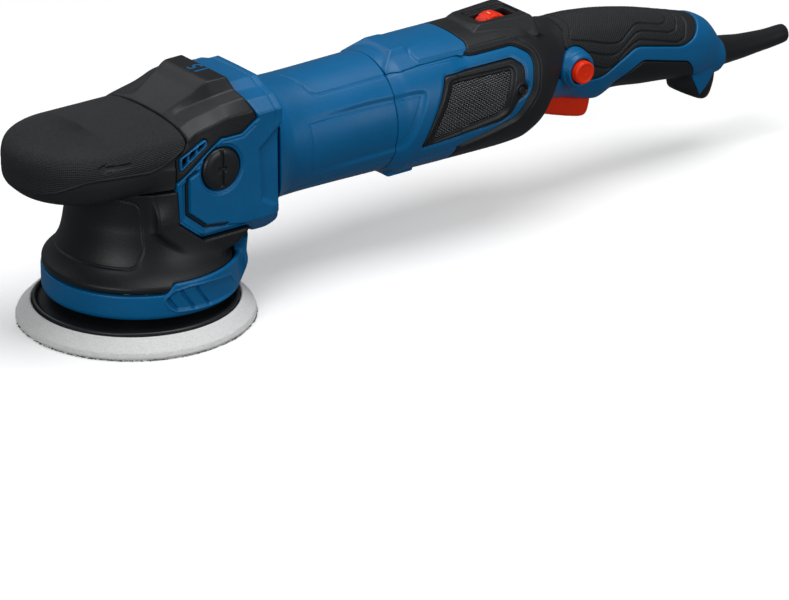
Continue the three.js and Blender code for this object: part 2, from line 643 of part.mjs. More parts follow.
// End turns of one field coil: a saddle on each end of the stack, joined along both sides.
function fieldCoil() {
  const sector = (x0, x1, inner, outside, spread) => {
    const outline = [];
    for (let i = 0; i <= 10; i += 1) {
      const angle = Math.PI / 2 - spread + 2 * spread * i / 10;
      outline.push([outside * Math.cos(angle), outside * Math.sin(angle)]);
    }
    for (let i = 10; i >= 0; i -= 1) {
      const angle = Math.PI / 2 - spread + 2 * spread * i / 10;
      outline.push([inner * Math.cos(angle), inner * Math.sin(angle)]);
    }
    return prism('yz', outline, x0, x1);
  };
  const outer = sector(86, 148, 18.6, 23, 1.24);
  const window = sector(90, 144, 10, 40, 0.9);
  const poleTip = sector(93.6, 140.4, 10, 23.4, 0.98);
  return outer.subtract(window).subtract(poleTip).translate([0, 0, MOTOR_Z]);
}
function motorHousing() {
  const outer = hull(FRONT_BARREL, 0, 32);
  const inside = rodX(28.8, 40, 200, 0, MOTOR_Z, 32);
  const topPanel = prism('xz', [[72, 112], [90, 101.6], [128, 101.6], [128, 112]], -60, 60)
    .intersect(hull(FRONT_BARREL, 0, 32).subtract(hull(FRONT_BARREL, 0.7, 32)));
  return outer.subtract(inside).subtract(topPanel.subtract(prism('xz', [
    [74.6, 113], [91, 102.8], [130, 102.8], [130, 113]], -60, 60)));
}
function bearingFlange() {
  return turnedX([
    [12.3, 48], [23.2, 48], [23.2, 56.4], [28.6, 56.4], [28.6, 60.4], [12.3, 60.4],
  ], 0, MOTOR_Z, 32);
}
// Speed control module: a potted block with two ears that carry the dial's axle.
function electronicsModule() {
  const block = box(206, 240, -13, 13, 68, 89);
  const ears = [-1, 1].map((side) => {
    const [inner, outer] = side < 0 ? [-7.2, -5.1] : [5.1, 7.2];
    return box(DIAL_X - 3, DIAL_X + 3, inner, outer, 88, 105);
  });
  return ears.reduce((solid, ear) => solid.add(ear), block)
    .add(rodY(1.5, -6, 6, DIAL_X, DIAL_Z, 12));
}
function brushHolder() {
  const outer = box(156.4, 167, -29.6, -13, 70.4, 81.6);
  return outer.subtract(box(158, 165.4, -40, -5, 72, 80));
}
const brush = () => box(158.3, 165.1, -24, -11.4, 72.3, 79.7);
function brushSpring() {
  const turns = 4;
  const curve = new THREE.Curve();
  curve.getPoint = (t, target = new THREE.Vector3()) => target.set(
    161.7 + 2.4 * Math.cos(2 * Math.PI * turns * t),
    -24.8 - 4.4 * t,
    MOTOR_Z + 2.4 * Math.sin(2 * Math.PI * turns * t),
  );
  const wire = new THREE.Shape();
  wire.absarc(0, 0, 0.35, 0, 2 * Math.PI);
  return toSolid(new THREE.ExtrudeGeometry(wire, {
    extrudePath: curve, steps: turns * 9, curveSegments: 2, bevelEnabled: false,
  }));
}

// ---------------------------------------------------------------- rear housing
const panelRegion = (extra) => prism('xz', grow(SIDE_PANEL, PANEL_CENTRE, extra), -60, -12)
  .add(prism('xz', grow(SIDE_PANEL, PANEL_CENTRE, extra), 12, 60));
const REAR_SIDES = 26;
const rearWall = () => hull(REAR_BODY, 0, REAR_SIDES).subtract(hull([
  { ...REAR_BODY[0], x: 130 }, ...REAR_BODY.slice(1, -1), { ...REAR_BODY[REAR_BODY.length - 1], x: 275 },
], WALL, REAR_SIDES));
const OVERMOULD_X = 188;
const blueRegion = () => prism('xz', [
  [130, 20], [182, 20], [182, 58], [OVERMOULD_X, 70], [OVERMOULD_X, 130], [130, 130],
], -60, 60);

function topHump() {
  return skin([
    [147, 13.6, 105.6], [151.4, 11.6, 111.2], [161, 11.6, 111.4], [176, 7, 108.6],
  ].map(([x, half, top]) => [
    [-half - 8, 100], [half + 8, 100], [half, top], [-half, top],
  ].map(([y, z]) => new THREE.Vector3(x, y, z))));
}
function motorHousingRear() {
  const feet = box(147.4, 163.4, -15, 15, 41.6, 47);
  return rearWall().intersect(blueRegion()).subtract(panelRegion(GAP))
    .add(topHump().subtract(hull(REAR_BODY, 2, REAR_SIDES)))
    .add(feet.subtract(hull(REAR_BODY, 2, REAR_SIDES)));
}
const DIAL_TOP = 112.5;
// The slanted seam where the handle leaves the rear overmould.
const HANDLE_SEAM = [
  [244, 20], [244, 55], [248.5, 66], [253, 75], [258, 84], [262, 91], [266, 98], [268, 110],
];
const behindSeam = (shift) => prism('xz', [
  ...HANDLE_SEAM.map(([x, z]) => [x + shift, z]), [420, 110], [420, 20],
], -60, 60);
function rearOvermould() {
  const blueSpace = prism('xz', [
    [100, 20], [182.3, 20], [182.3, 58], [OVERMOULD_X + GAP, 70], [OVERMOULD_X + GAP, 130], [100, 130],
  ], -60, 60);
  const dialHump = skin([
    [100, 203, 254, 22], [106, 205, 251, 20], [DIAL_TOP, 208.4, 243, 15],
  ].map(([z, x0, x1, half]) => [
    [x0, -half], [x1, -half], [x1, half], [x0, half],
  ].map(([x, y]) => new THREE.Vector3(x, y, z))));
  const dialWell = box(DIAL_X - 11.4, DIAL_X + 11.4, -7.6, 7.6, 98, 107)
    .add(box(DIAL_X - 11.4, DIAL_X + 11.4, -5.4, 5.4, 98, 120));
  const triggerRoom = box(238, 270, -11, 11, 40, 70);
  const lockRoom = rodY(BOSS_RADIUS + 1, -60, -10, LOCK_X, LOCK_Z, 24);
  return rearWall().subtract(blueSpace).subtract(panelRegion(GAP))
    .add(dialHump.subtract(hull(REAR_BODY, 2, REAR_SIDES)))
    .subtract(dialWell)
    .subtract(lockRoom)
    .subtract(behindSeam(0))
    .subtract(triggerRoom);
}
function sidePanel() {
  const region = prism('xz', SIDE_PANEL, -60, -12);
  const frameSpace = prism('xz', grow(VENT_FRAME, PANEL_CENTRE, GAP), -60, -12);
  return rearWall().intersect(region).subtract(frameSpace);
}
function ventFrame() {
  const region = prism('xz', VENT_FRAME, -60, -12);
  const wall = hull(REAR_BODY, -0.6, REAR_SIDES).subtract(hull(REAR_BODY, WALL, REAR_SIDES));
  const opening = prism('xz', MESH_AREA, -60, -12);
  const screwRecess = rodY(2.6, -50, -20, 221.4, 79.4, 16).subtract(hull(REAR_BODY, 1.4, REAR_SIDES));
  return wall.intersect(region).subtract(opening).subtract(screwRecess);
}
function meshScreen() {
  const region = prism('xz', grow(MESH_AREA, MESH_CENTRE, -0.5), -60, -12);
  return hull(REAR_BODY, 1, REAR_SIDES).subtract(hull(REAR_BODY, 1.9, REAR_SIDES)).intersect(region);
}
function speedDial() {
  const wheel = [];
  const teeth = 20;
  for (let i = 0; i < teeth; i += 1) {
    for (const [k, r] of [[0, 10], [0.5, 10], [0.6, 9.3], [0.9, 9.3]]) {
      const angle = 2 * Math.PI * (i + k) / teeth;
      wheel.push([DIAL_X + r * Math.cos(angle), DIAL_Z + r * Math.sin(angle)]);
    }
  }
  return prism('xz', wheel, -4.8, 4.8).subtract(rodY(1.9, -10, 10, DIAL_X, DIAL_Z, 12));
}

// ---------------------------------------------------------------- handle
const HANDLE_SIDES = 24;
const handleWall = () => hull(HANDLE, 0, HANDLE_SIDES).subtract(hull([
  { ...HANDLE[0], x: 235 }, ...HANDLE.slice(1, -3), { ...HANDLE[HANDLE.length - 3], x: TAIL_X - 8 },
], WALL, HANDLE_SIDES));
const tailBore = () => rodX(6.8, TAIL_X - 9, 400, 0, CORD_Z, 20)
  .add(rodX(8.1, TAIL_X - 14, TAIL_X - 8, 0, CORD_Z, 20));
const sideRegion = (side) => {
  const half = box(200, 420, GAP / 2, 60, 0, 140);
  return side < 0 ? mirrorY(half) : half;
};
const lockBoss = () => turnedY([
  [0, -27], [8, -27], [10.4, -24.6], [BOSS_RADIUS, -20], [BOSS_RADIUS, -14], [0, -14],
], LOCK_X, LOCK_Z, 24);
const triggerSlot = () => box(238, 291.4, -10, 10, 38, 67);
const PIVOT_X = 252;
const PIVOT_Z = 60.6;

const pivotPin = () => rodY(2, -23, 23, PIVOT_X, PIVOT_Z, 12);

function handleShell(side) {
  const grip = prism('xz', GRIP_EDGE, -60, 60);
  const under = prism('xz', UNDER_EDGE, -60, 60);
  let shell = handleWall().subtract(grip).subtract(under);
  if (side < 0) {
    shell = shell.add(lockBoss().subtract(hull(HANDLE, WALL, HANDLE_SIDES)))
      .subtract(rodY(7, -60, 0, LOCK_X, LOCK_Z, 20));
  }
  return shell.intersect(behindSeam(GAP))
    .subtract(triggerSlot())
    .subtract(tailBore())
    .add(pivotPin())
    .intersect(sideRegion(side));
}
function gripSleeve() {
  const region = prism('xz', grow(GRIP_EDGE, [310, 95], -GAP), -60, 60);
  return handleWall().intersect(region).intersect(behindSeam(GAP))
    .subtract(rodY(BOSS_RADIUS + 0.7, -60, -10, LOCK_X, LOCK_Z, 24))
    .subtract(box(240, 258, -60, -10, 60, 82));
}
// The rounded heel under the tail, on which the tool rests: [z, front x, rear x, half width].
const HOOK_LEVELS = [
  [REST_Z, 363, 373.6, 5.6], [32, 359.6, 376, 8.4], [36, 356.4, 378, 10.2], [42, 355, 378.6, 11],
  [50, 352.4, 378.6, 11.6],
];
const tailHook = () => skin(HOOK_LEVELS.map(([z, x0, x1, half]) => (
  Array.from({ length: 16 }, (unused, i) => {
    const angle = 2 * Math.PI * (i + 0.5) / 16;
    const [c, s] = [Math.cos(angle), Math.sin(angle)];
    return new THREE.Vector3(
      (x0 + x1) / 2 + (x1 - x0) / 2 * Math.sign(c) * Math.abs(c) ** 0.75,
      half * Math.sign(s) * Math.abs(s) ** 0.75,
      z,
    );
  }))));
function underGrip() {
  const region = prism('xz', UNDER_EDGE.map(([x, z]) => [x + 0.1, z - GAP - 0.1]), -60, 60);
  const cavity = hull(HANDLE, WALL, HANDLE_SIDES);
  const shellSpace = hull(HANDLE, -GAP, HANDLE_SIDES).subtract(region);
  return handleWall().intersect(region).add(tailHook().subtract(cavity).subtract(shellSpace));
}
function trigger() {
  const body = skin([
    [-9, 0], [-6, -2.4], [6, -2.4], [9, 0],
  ].map(([y, drop]) => [
    [246, 64], [245.6, 53.4 + drop * 0.3], [260, 49.4 + drop], [276, 44.8 + drop], [285, 43.4 + drop],
    [288.4, 46], [290, 52], [289.6, 59.6], [262, 64],
  ].map(([x, z]) => new THREE.Vector3(x, y, z))));
  return body.subtract(rodY(2.4, -12, 12, PIVOT_X, PIVOT_Z, 12));
}
function lockButton() {
  return turnedY([
    [0, -31], [5, -31], [6.4, -29.8], [6.4, -17], [4, -17], [4, -12], [0, -12],
  ], LOCK_X, LOCK_Z, 24);
}
function switchBody() {
  return box(262, 298, -9, 9, 66, 86);
}
// Tapered sleeve round the cord: [x, outer radius, height of its centre above the cord outlet].
const SLEEVE_LEVELS = [
  [TAIL_X - 11.6, 7.6, 0], [TAIL_X - 8.4, 7.6, 0], [TAIL_X - 8.2, 6.3, 0], [TAIL_X + GAP, 6.3, 0],
  [TAIL_X + 0.6, 8.8, 0.2], [392, 8.1, -0.2], [405, 6.8, -0.9], [420, 5.8, -0.9], [432, 5.4, -0.3],
  [435.4, 4.6, -0.1],
];
function strainRelief() {
  const tube = (levels) => skin(levels.map(([x, radius, rise]) => (
    Array.from({ length: 14 }, (unused, i) => {
      const angle = 2 * Math.PI * i / 14;
      return new THREE.Vector3(x, radius * Math.cos(angle), CORD_Z + rise + radius * Math.sin(angle));
    }))));
  const last = SLEEVE_LEVELS.length - 1;
  const bore = SLEEVE_LEVELS.map(([x, , rise], i) => [x + (i === last ? 1 : i === 0 ? -1 : 0), 3.6, rise]);
  return tube(SLEEVE_LEVELS).subtract(tube(bore));
}

piece('palm_grip', palmGrip(), RUBBER);
piece('head_cover', headCover(), BLACK);
piece('head_shell', headShell(), BLUE);
piece('head_vent_near', ventInsert(), BLUE);
piece('head_vent_far', mirrorY(ventInsert()), BLUE);
piece('side_plug_near', sidePlug(), BLACK);
piece('side_plug_far', mirrorY(sidePlug()), BLACK);
piece('skirt', skirt(), BLACK);
piece('shroud_ring', shroudRing(), BLUE);
piece('gearbox_housing', gearbox(), ALUMINIUM);
piece('spindle_bearing_lower', bearing(9.3, 17, 42, 52), STEEL);
piece('spindle_bearing_upper', bearing(6.3, 13, 90.6, 97.6), STEEL);
piece('bearing_retainer', bearing(10, 17, 38, 41.7), STEEL);
piece('ring_gear', ringGear(), STEEL);
piece('output_spindle', spindle(), STEEL);
piece('eccentric_counterweight', eccentric(), STEEL);
piece('pinion', pinion(), STEEL);
piece('pad_bearing', bearing(6.3, 13, 16.2, 28, PAD_X, PAD_Y), STEEL);
piece('pad_spindle', padSpindle(), STEEL);
piece('backing_plate', backingPlate(), BLACK);
piece('foam_pad', foamPad(), FOAM);
piece('hook_face', hookFace(), HOOK);
piece('pad_screw', padScrew(), STEEL);
piece('motor_housing_front', motorHousing(), BLUE);
piece('motor_housing_rear', motorHousingRear(), BLUE);
piece('bearing_flange', bearingFlange(), ALUMINIUM);
piece('motor_bearing_front', bearingX(5.3, 12, 50, 59), STEEL);
piece('motor_bearing_rear', bearingX(4.3, 11, 190, 197), STEEL);
piece('armature_shaft', armatureShaft(), STEEL);
piece('armature_core', armatureCore(), LAMINATION);
piece('winding_head_front', windingHead(84, 93.7), COPPER);
piece('winding_head_rear', windingHead(140.3, 151), COPPER);
piece('commutator', commutator(), COPPER);
piece('cooling_fan', coolingFan(), NYLON);
piece('stator_core', stator(), LAMINATION);
piece('field_coil_upper', fieldCoil(), COPPER);
piece('field_coil_lower', fieldCoil().mirror([0, 0, 1]).translate([0, 0, 2 * MOTOR_Z]), COPPER);
piece('electronics_module', electronicsModule(), NYLON);
piece('brush_holder_near', brushHolder(), BRASS);
piece('brush_holder_far', mirrorY(brushHolder()), BRASS);
piece('brush_near', brush(), CARBON);
piece('brush_far', mirrorY(brush()), CARBON);
piece('brush_spring_near', brushSpring(), STEEL);
piece('brush_spring_far', mirrorY(brushSpring()), STEEL);
piece('rear_overmould', rearOvermould(), RUBBER);
piece('side_panel_near', sidePanel(), BLUE);
piece('side_panel_far', mirrorY(sidePanel()), BLUE);
piece('vent_frame_near', ventFrame(), BLACK);
piece('vent_frame_far', mirrorY(ventFrame()), BLACK);
piece('mesh_screen_near', meshScreen(), MESH_STEEL);
piece('mesh_screen_far', mirrorY(meshScreen()), MESH_STEEL);
piece('speed_dial', speedDial(), RED);
piece('handle_shell_near', handleShell(-1), BLUE);
piece('handle_shell_far', handleShell(1), BLUE);
piece('grip_sleeve', gripSleeve(), RUBBER);
piece('under_grip', underGrip(), BLACK);
piece('trigger', trigger(), RED);
piece('lock_button', lockButton(), RED);
piece('switch_body', switchBody(), NYLON);
piece('strain_relief', strainRelief(), RUBBER);

export default model;
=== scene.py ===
import math
from functools import reduce

import bpy
import numpy as np
from mathutils import Matrix, Vector


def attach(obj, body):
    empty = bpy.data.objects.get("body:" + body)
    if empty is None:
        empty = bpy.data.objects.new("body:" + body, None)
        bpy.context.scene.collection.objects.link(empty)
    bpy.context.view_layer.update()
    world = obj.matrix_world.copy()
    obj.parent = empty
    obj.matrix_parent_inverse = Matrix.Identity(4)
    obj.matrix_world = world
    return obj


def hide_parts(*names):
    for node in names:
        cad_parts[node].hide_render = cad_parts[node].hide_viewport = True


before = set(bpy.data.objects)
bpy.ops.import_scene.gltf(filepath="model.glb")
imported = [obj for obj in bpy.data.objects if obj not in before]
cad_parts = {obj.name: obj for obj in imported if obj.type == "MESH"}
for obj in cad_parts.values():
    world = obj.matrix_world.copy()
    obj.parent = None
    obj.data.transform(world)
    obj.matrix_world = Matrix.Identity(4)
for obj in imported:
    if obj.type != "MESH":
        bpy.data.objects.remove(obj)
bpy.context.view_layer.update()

# All design sizes below are millimetres, as in the CAD model; meshes are made in metres.
MM = 0.001
GAP = 0.3
STEP = 0.5                          # grid step of the moulded shells
WALL = 3.0
PAIR = ("_near", "_far")             # name endings: the near side is the one in the photograph
MOTOR_Z = 76.0
PAD_X, PAD_Y = -6.144, -4.302
LOCK_X, LOCK_Z = 267.8, 77.4
DIAL_X, DIAL_Z = 227.0, 102.2
TAIL_X = 383.4
CORD_Z = 54.4
NUMERAL_RISE = 0.12                 # how far raised digits stand out


# ------------------------------------------------------------------ signed distance toolkit
class Grid:
    """Axes of a regular grid, shaped so that they broadcast against each other."""

    def __init__(self, low, high, step=STEP):
        self.low, self.step = np.array(low, float), step
        counts = [int(math.ceil((b - a) / step)) + 1 for a, b in zip(low, high)]
        self.shape = tuple(counts)
        self.x, self.y, self.z = np.ix_(*(
            start + step * np.arange(count, dtype=np.float32) for start, count in zip(low, counts)))
        self.side = abs(self.y)
        self.radius = np.hypot(self.x, self.y)
        self.motor_radius = np.hypot(self.y, self.z - MOTOR_Z)

    def round_y(self, x, z):
        """Distance from an axis along Y."""
        return np.hypot(self.x - x, self.z - z)

    def elevation(self, points, radius=0, steps=4):
        """Distance to a polygon of the side view, its corners eased over the radius."""
        return outline(self.x, self.z, fillet(points, radius, steps) if radius else points)


def both(*fields):
    """Intersection with sharp edges."""
    return reduce(np.maximum, fields)


def either(*fields):
    """Union with sharp edges."""
    return reduce(np.minimum, fields)


def smax(a, b, k=0.8):
    """Intersection with its edge rounded over about k."""
    h = np.maximum(k - abs(a - b), 0) / k
    return np.maximum(a, b) + h * h * (k / 4)


def smin(a, b, k=0.8):
    return -smax(-a, -b, k)


def cut(a, b, k=0.8):
    return smax(a, -b, k)


def ramp(t):
    t = np.clip(t, 0, 1)
    return t * t * (3 - 2 * t)


def band(distance, half, soft=0.3):
    """1 within half of the line and 0 beyond, with soft sides."""
    return ramp((half + soft - abs(distance)) / soft)


def polyline(u, v, points):
    """Distance to an open line. Its points may be numbers or arrays."""
    nearest = np.inf
    for (ax, ay), (bx, by) in zip(points, points[1:]):
        ex, ey = bx - ax, by - ay
        wx, wy = u - ax, v - ay
        t = np.clip((wx * ex + wy * ey) / (ex * ex + ey * ey + 1e-12), 0, 1)
        nearest = np.minimum(nearest, (wx - ex * t) ** 2 + (wy - ey * t) ** 2)
    return np.sqrt(nearest)


def outline(u, v, points):
    """Signed distance to a closed polygon, negative inside."""
    closed = [*points, points[0]]
    inside = False
    for (ax, ay), (bx, by) in zip(closed, closed[1:]):
        ex, ey = bx - ax, by - ay
        reach = ax + (v - ay) * ex / (ey + 1e-12 * (abs(ey) < 1e-9))
        inside = inside ^ (((ay > v) != (by > v)) & (u < reach))
    return (polyline(u, v, closed) * np.where(inside, -1, 1)).astype(np.float32)


def fillet(points, radius, steps=4):
    """The polygon with each corner replaced by a short curve."""
    result = []
    count = len(points)
    for i in range(count):
        p, a, b = (np.array(points[j % count], float) for j in (i, i - 1, i + 1))
        to_a, to_b = a - p, b - p
        la, lb = np.linalg.norm(to_a), np.linalg.norm(to_b)
        start = p + to_a / la * min(radius, la * 0.45)
        end = p + to_b / lb * min(radius, lb * 0.45)
        for k in range(steps + 1):
            t = k / steps
            q = (1 - t) ** 2 * start + 2 * t * (1 - t) * p + t * t * end
            result.append((float(q[0]), float(q[1])))
    return result


def grow(points, centre, amount):
    result = []
    for a, b in points:
        da, db = a - centre[0], b - centre[1]
        length = math.hypot(da, db)
        result.append((a + da / length * amount, b + db / length * amount))
    return result


def curve(x, xs, ys):
    """Smooth monotone curve through the points (xs, ys), sampled at x."""
    xs, ys = np.array(xs, float), np.array(ys, float)
    h = np.diff(xs)
    d = np.diff(ys) / h
    m = np.zeros(len(xs))
    level = d[:-1] * d[1:] <= 0
    m[1:-1] = np.where(level, 0, 2 * d[:-1] * d[1:] / (d[:-1] + d[1:] + 1e-12 * level))
    m[0], m[-1] = d[0], d[-1]
    x = np.clip(x, xs[0], xs[-1])
    i = np.clip(np.searchsorted(xs, x) - 1, 0, len(h) - 1)
    t = (x - xs[i]) / h[i]
    a, b, c = 2 * t ** 3 - 3 * t ** 2 + 1, t ** 3 - 2 * t ** 2 + t, -2 * t ** 3 + 3 * t ** 2
    value = a * ys[i] + b * h[i] * m[i] + c * ys[i + 1] + (t ** 3 - t ** 2) * h[i] * m[i + 1]
    return value.astype(np.float32)


def blur(field, passes=2):
    """Softens a distance field, which rounds its edges and its creases."""
    for axis in range(field.ndim):
        if field.shape[axis] < 3:
            continue
        for _ in range(passes):
            padded = np.concatenate([
                np.take(field, [0], axis), field, np.take(field, [-1], axis)], axis)
            n = field.shape[axis]
            field = (np.take(padded, range(0, n), axis) + 2 * field
                     + np.take(padded, range(2, n + 2), axis)) / 4
    return field


def section_at(x, stations, pick=np.interp):
    """Half width, top, bottom and squareness of a body's section at x."""
    xs, *columns = zip(*stations)
    return [pick(x, xs, column) for column in columns]


def hull(grid, stations, inset=0.0):
    """Distance to a body of rounded sections across X, and the angle round it from the top."""
    w, top, bottom, n = section_at(grid.x, stations, curve)
    w = w - inset
    middle, half = (top + bottom) / 2, (top - bottom) / 2 - inset
    up = grid.z - middle
    across = (abs(grid.y) / w) ** n
    along = (abs(up) / half) ** n
    rho = (across + along + 1e-9) ** (1 / n)
    distance = np.sqrt(grid.y ** 2 + up ** 2) * (1 - 1 / rho)
    angle = np.degrees(np.arctan2(np.sqrt(across), np.sign(up) * np.sqrt(along)))
    return distance.astype(np.float32), angle.astype(np.float32)


def lathe_field(radius, level, profile):
    """Distance to a turned form: radius is a 2-D array, level the axis that it lacks."""
    axis = radius.shape.index(1)
    levels = level.ravel()
    table_r = np.arange(float(radius.min()) - 0.5, float(radius.max()) + 0.5, 0.2, dtype=np.float32)
    table = outline(table_r[:, None], levels[None, :], profile)
    flat = radius.ravel()
    slices = [np.interp(flat, table_r, table[:, k]).astype(np.float32) for k in range(len(levels))]
    shape = [n for i, n in enumerate(radius.shape) if i != axis]
    return np.stack([s.reshape(shape) for s in slices], axis)


CORNERS = np.array([(i, j, k) for i in (0, 1) for j in (0, 1) for k in (0, 1)])
EDGES = [(a, b) for a in range(8) for b in range(a + 1, 8)
         if abs(CORNERS[a] - CORNERS[b]).sum() == 1]


def sample(field, points):
    base = np.clip(np.floor(points).astype(int), 0, np.array(field.shape) - 2)
    f = points - base
    total = np.zeros(len(points))
    for corner in CORNERS:
        at = base + corner
        weight = np.prod(np.where(corner, f, 1 - f), axis=1)
        total += weight * field[at[:, 0], at[:, 1], at[:, 2]]
    return total


def slope(field, points, reach=0.6):
    columns = []
    for axis in range(3):
        offset = np.zeros(3)
        offset[axis] = reach
        columns.append(sample(field, points + offset) - sample(field, points - offset))
    return np.stack(columns, 1) / (2 * reach)


def net(field):
    """Surface net of the zero level: points in grid units, quads and normals."""
    inside = field < 0
    cell = tuple(n - 1 for n in field.shape)
    count = np.zeros(cell, np.uint8)
    for i, j, k in CORNERS:
        count += inside[i:i + cell[0], j:j + cell[1], k:k + cell[2]]
    active = (count > 0) & (count < 8)
    cells = np.argwhere(active)
    index = np.full(cell, -1, np.int32)
    index[active] = np.arange(len(cells))
    values = np.stack([field[tuple((cells + c).T)] for c in CORNERS], 1).astype(float)
    total = np.zeros((len(cells), 3))
    hits = np.zeros(len(cells))
    for a, b in EDGES:
        va, vb = values[:, a], values[:, b]
        crossing = (va < 0) != (vb < 0)
        t = np.where(crossing, va / np.where(crossing, va - vb, 1), 0)
        point = CORNERS[a] + t[:, None] * (CORNERS[b] - CORNERS[a])
        total += point * crossing[:, None]
        hits += crossing
    points = cells + total / hits[:, None]
    quads = []
    for axis in range(3):
        u, w = (axis + 1) % 3, (axis + 2) % 3
        low = [slice(1, -1)] * 3
        high = [slice(1, -1)] * 3
        low[axis], high[axis] = slice(0, -1), slice(1, None)
        a, b = inside[tuple(low)], inside[tuple(high)]
        at = np.argwhere(a != b)
        flip = ~a[tuple(at.T)]
        start = np.zeros(3, int)
        start[u] = start[w] = 1
        at = at + start
        ring = []
        for du, dw in ((-1, -1), (0, -1), (0, 0), (-1, 0)):
            corner = at.copy()
            corner[:, u] += du
            corner[:, w] += dw
            ring.append(index[tuple(corner.T)])
        quad = np.stack(ring, 1)
        quad[flip] = quad[flip][:, ::-1]
        quads.append(quad)
    quads = np.concatenate(quads)
    for _ in range(2):
        value, gradient = sample(field, points), slope(field, points)
        length = (gradient ** 2).sum(1) + 1e-6
        move = gradient * (value / length)[:, None]
        size = np.linalg.norm(move, axis=1)
        points = points - move * (np.minimum(size, 0.5) / (size + 1e-9))[:, None]
    normals = slope(field, points)
    normals /= np.linalg.norm(normals, axis=1)[:, None] + 1e-9
    return points, quads, normals


def main_islands(points, quads, normals, least=300):
    """Drops crumbs: bodies of fewer than `least` points."""
    count = len(points)
    label = np.arange(count)
    a = np.concatenate([quads[:, 0], quads[:, 1], quads[:, 2], quads[:, 3]])
    b = np.concatenate([quads[:, 1], quads[:, 2], quads[:, 3], quads[:, 0]])
    while True:
        low = np.minimum(label[a], label[b])
        new = label.copy()
        np.minimum.at(new, a, low)
        np.minimum.at(new, b, low)
        for _ in range(3):
            new = new[new]
        if np.array_equal(new, label):
            break
        label = new
    sizes = np.bincount(label, minlength=count)
    keep = sizes[label] >= least
    if keep.all():
        return points, quads, normals
    renumber = np.cumsum(keep) - 1
    quads = renumber[quads[keep[quads[:, 0]]]]
    return points[keep], quads, normals[keep]


def placed(name, data):
    """A new object in the scene."""
    thing = bpy.data.objects.new(name, data)
    bpy.context.scene.collection.objects.link(thing)
    return thing


def coordinates(mesh):
    flat = np.zeros(len(mesh.vertices) * 3, np.float32)
    mesh.vertices.foreach_get("co", flat)
    return flat.reshape(-1, 3)


def ring_quads(rings, sides, closed=True, first=0):
    """Quads of a tube of rings of points; closed joins the last ring to the first."""
    i, j = np.meshgrid(np.arange(rings if closed else rings - 1), np.arange(sides), indexing="ij")
    here, there = i * sides, (i + 1) % rings * sides
    after = (j + 1) % sides
    return first + np.stack([here + j, here + after, there + after, there + j], 2).reshape(-1, 4)


def mesh_object(name, points, faces, normals=None, uv=None):
    """A smooth mesh object from arrays; points in millimetres."""
    mesh = bpy.data.meshes.new(name)
    size = faces.shape[1]
    mesh.vertices.add(len(points))
    mesh.vertices.foreach_set("co", (points * MM).astype(np.float32).ravel())
    mesh.loops.add(faces.size)
    mesh.loops.foreach_set("vertex_index", faces.astype(np.int32).ravel())
    mesh.polygons.add(len(faces))
    mesh.polygons.foreach_set("loop_start", np.arange(0, faces.size, size, dtype=np.int32))
    mesh.polygons.foreach_set("use_smooth", np.ones(len(faces), bool))
    mesh.update(calc_edges=True)
    if uv is not None:
        layer = mesh.uv_layers.new(name="form")
        layer.data.foreach_set("uv", uv[faces.ravel()].astype(np.float32).ravel())
    if normals is not None:
        mesh.normals_split_custom_set_from_vertices(normals.tolist())
    return placed(name, mesh)


def settle(thing, body, material, *nodes):
    """Gives a piece its material and slot, ties it to a body and hides the CAD nodes it replaces."""
    thing.data.materials.append(material)
    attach(thing, body)
    if nodes:
        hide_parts(*nodes)


def moulded(name, grid, field, uv=None, mirrored=False, least=300):
    """The shell at the zero level of a field sampled on the grid."""
    field = np.ascontiguousarray(np.broadcast_to(field, grid.shape), dtype=np.float32)
    points, quads, normals = main_islands(*net(field), least=least)
    points = points * grid.step + grid.low
    if mirrored:
        points = points * np.array([1, -1, 1])
        normals = normals * np.array([1, -1, 1])
        quads = quads[:, ::-1]
    return mesh_object(name, points, quads, normals, None if uv is None else uv(points))


def shell(name, grid, field, material, *nodes, side="", body="housing", least=300):
    """A moulded piece in its place. Of a pair, the far one is the near one mirrored."""
    thing = moulded(name + side, grid, field, mirrored=side == "_far", least=least)
    settle(thing, body, material, *(node + side for node in nodes))


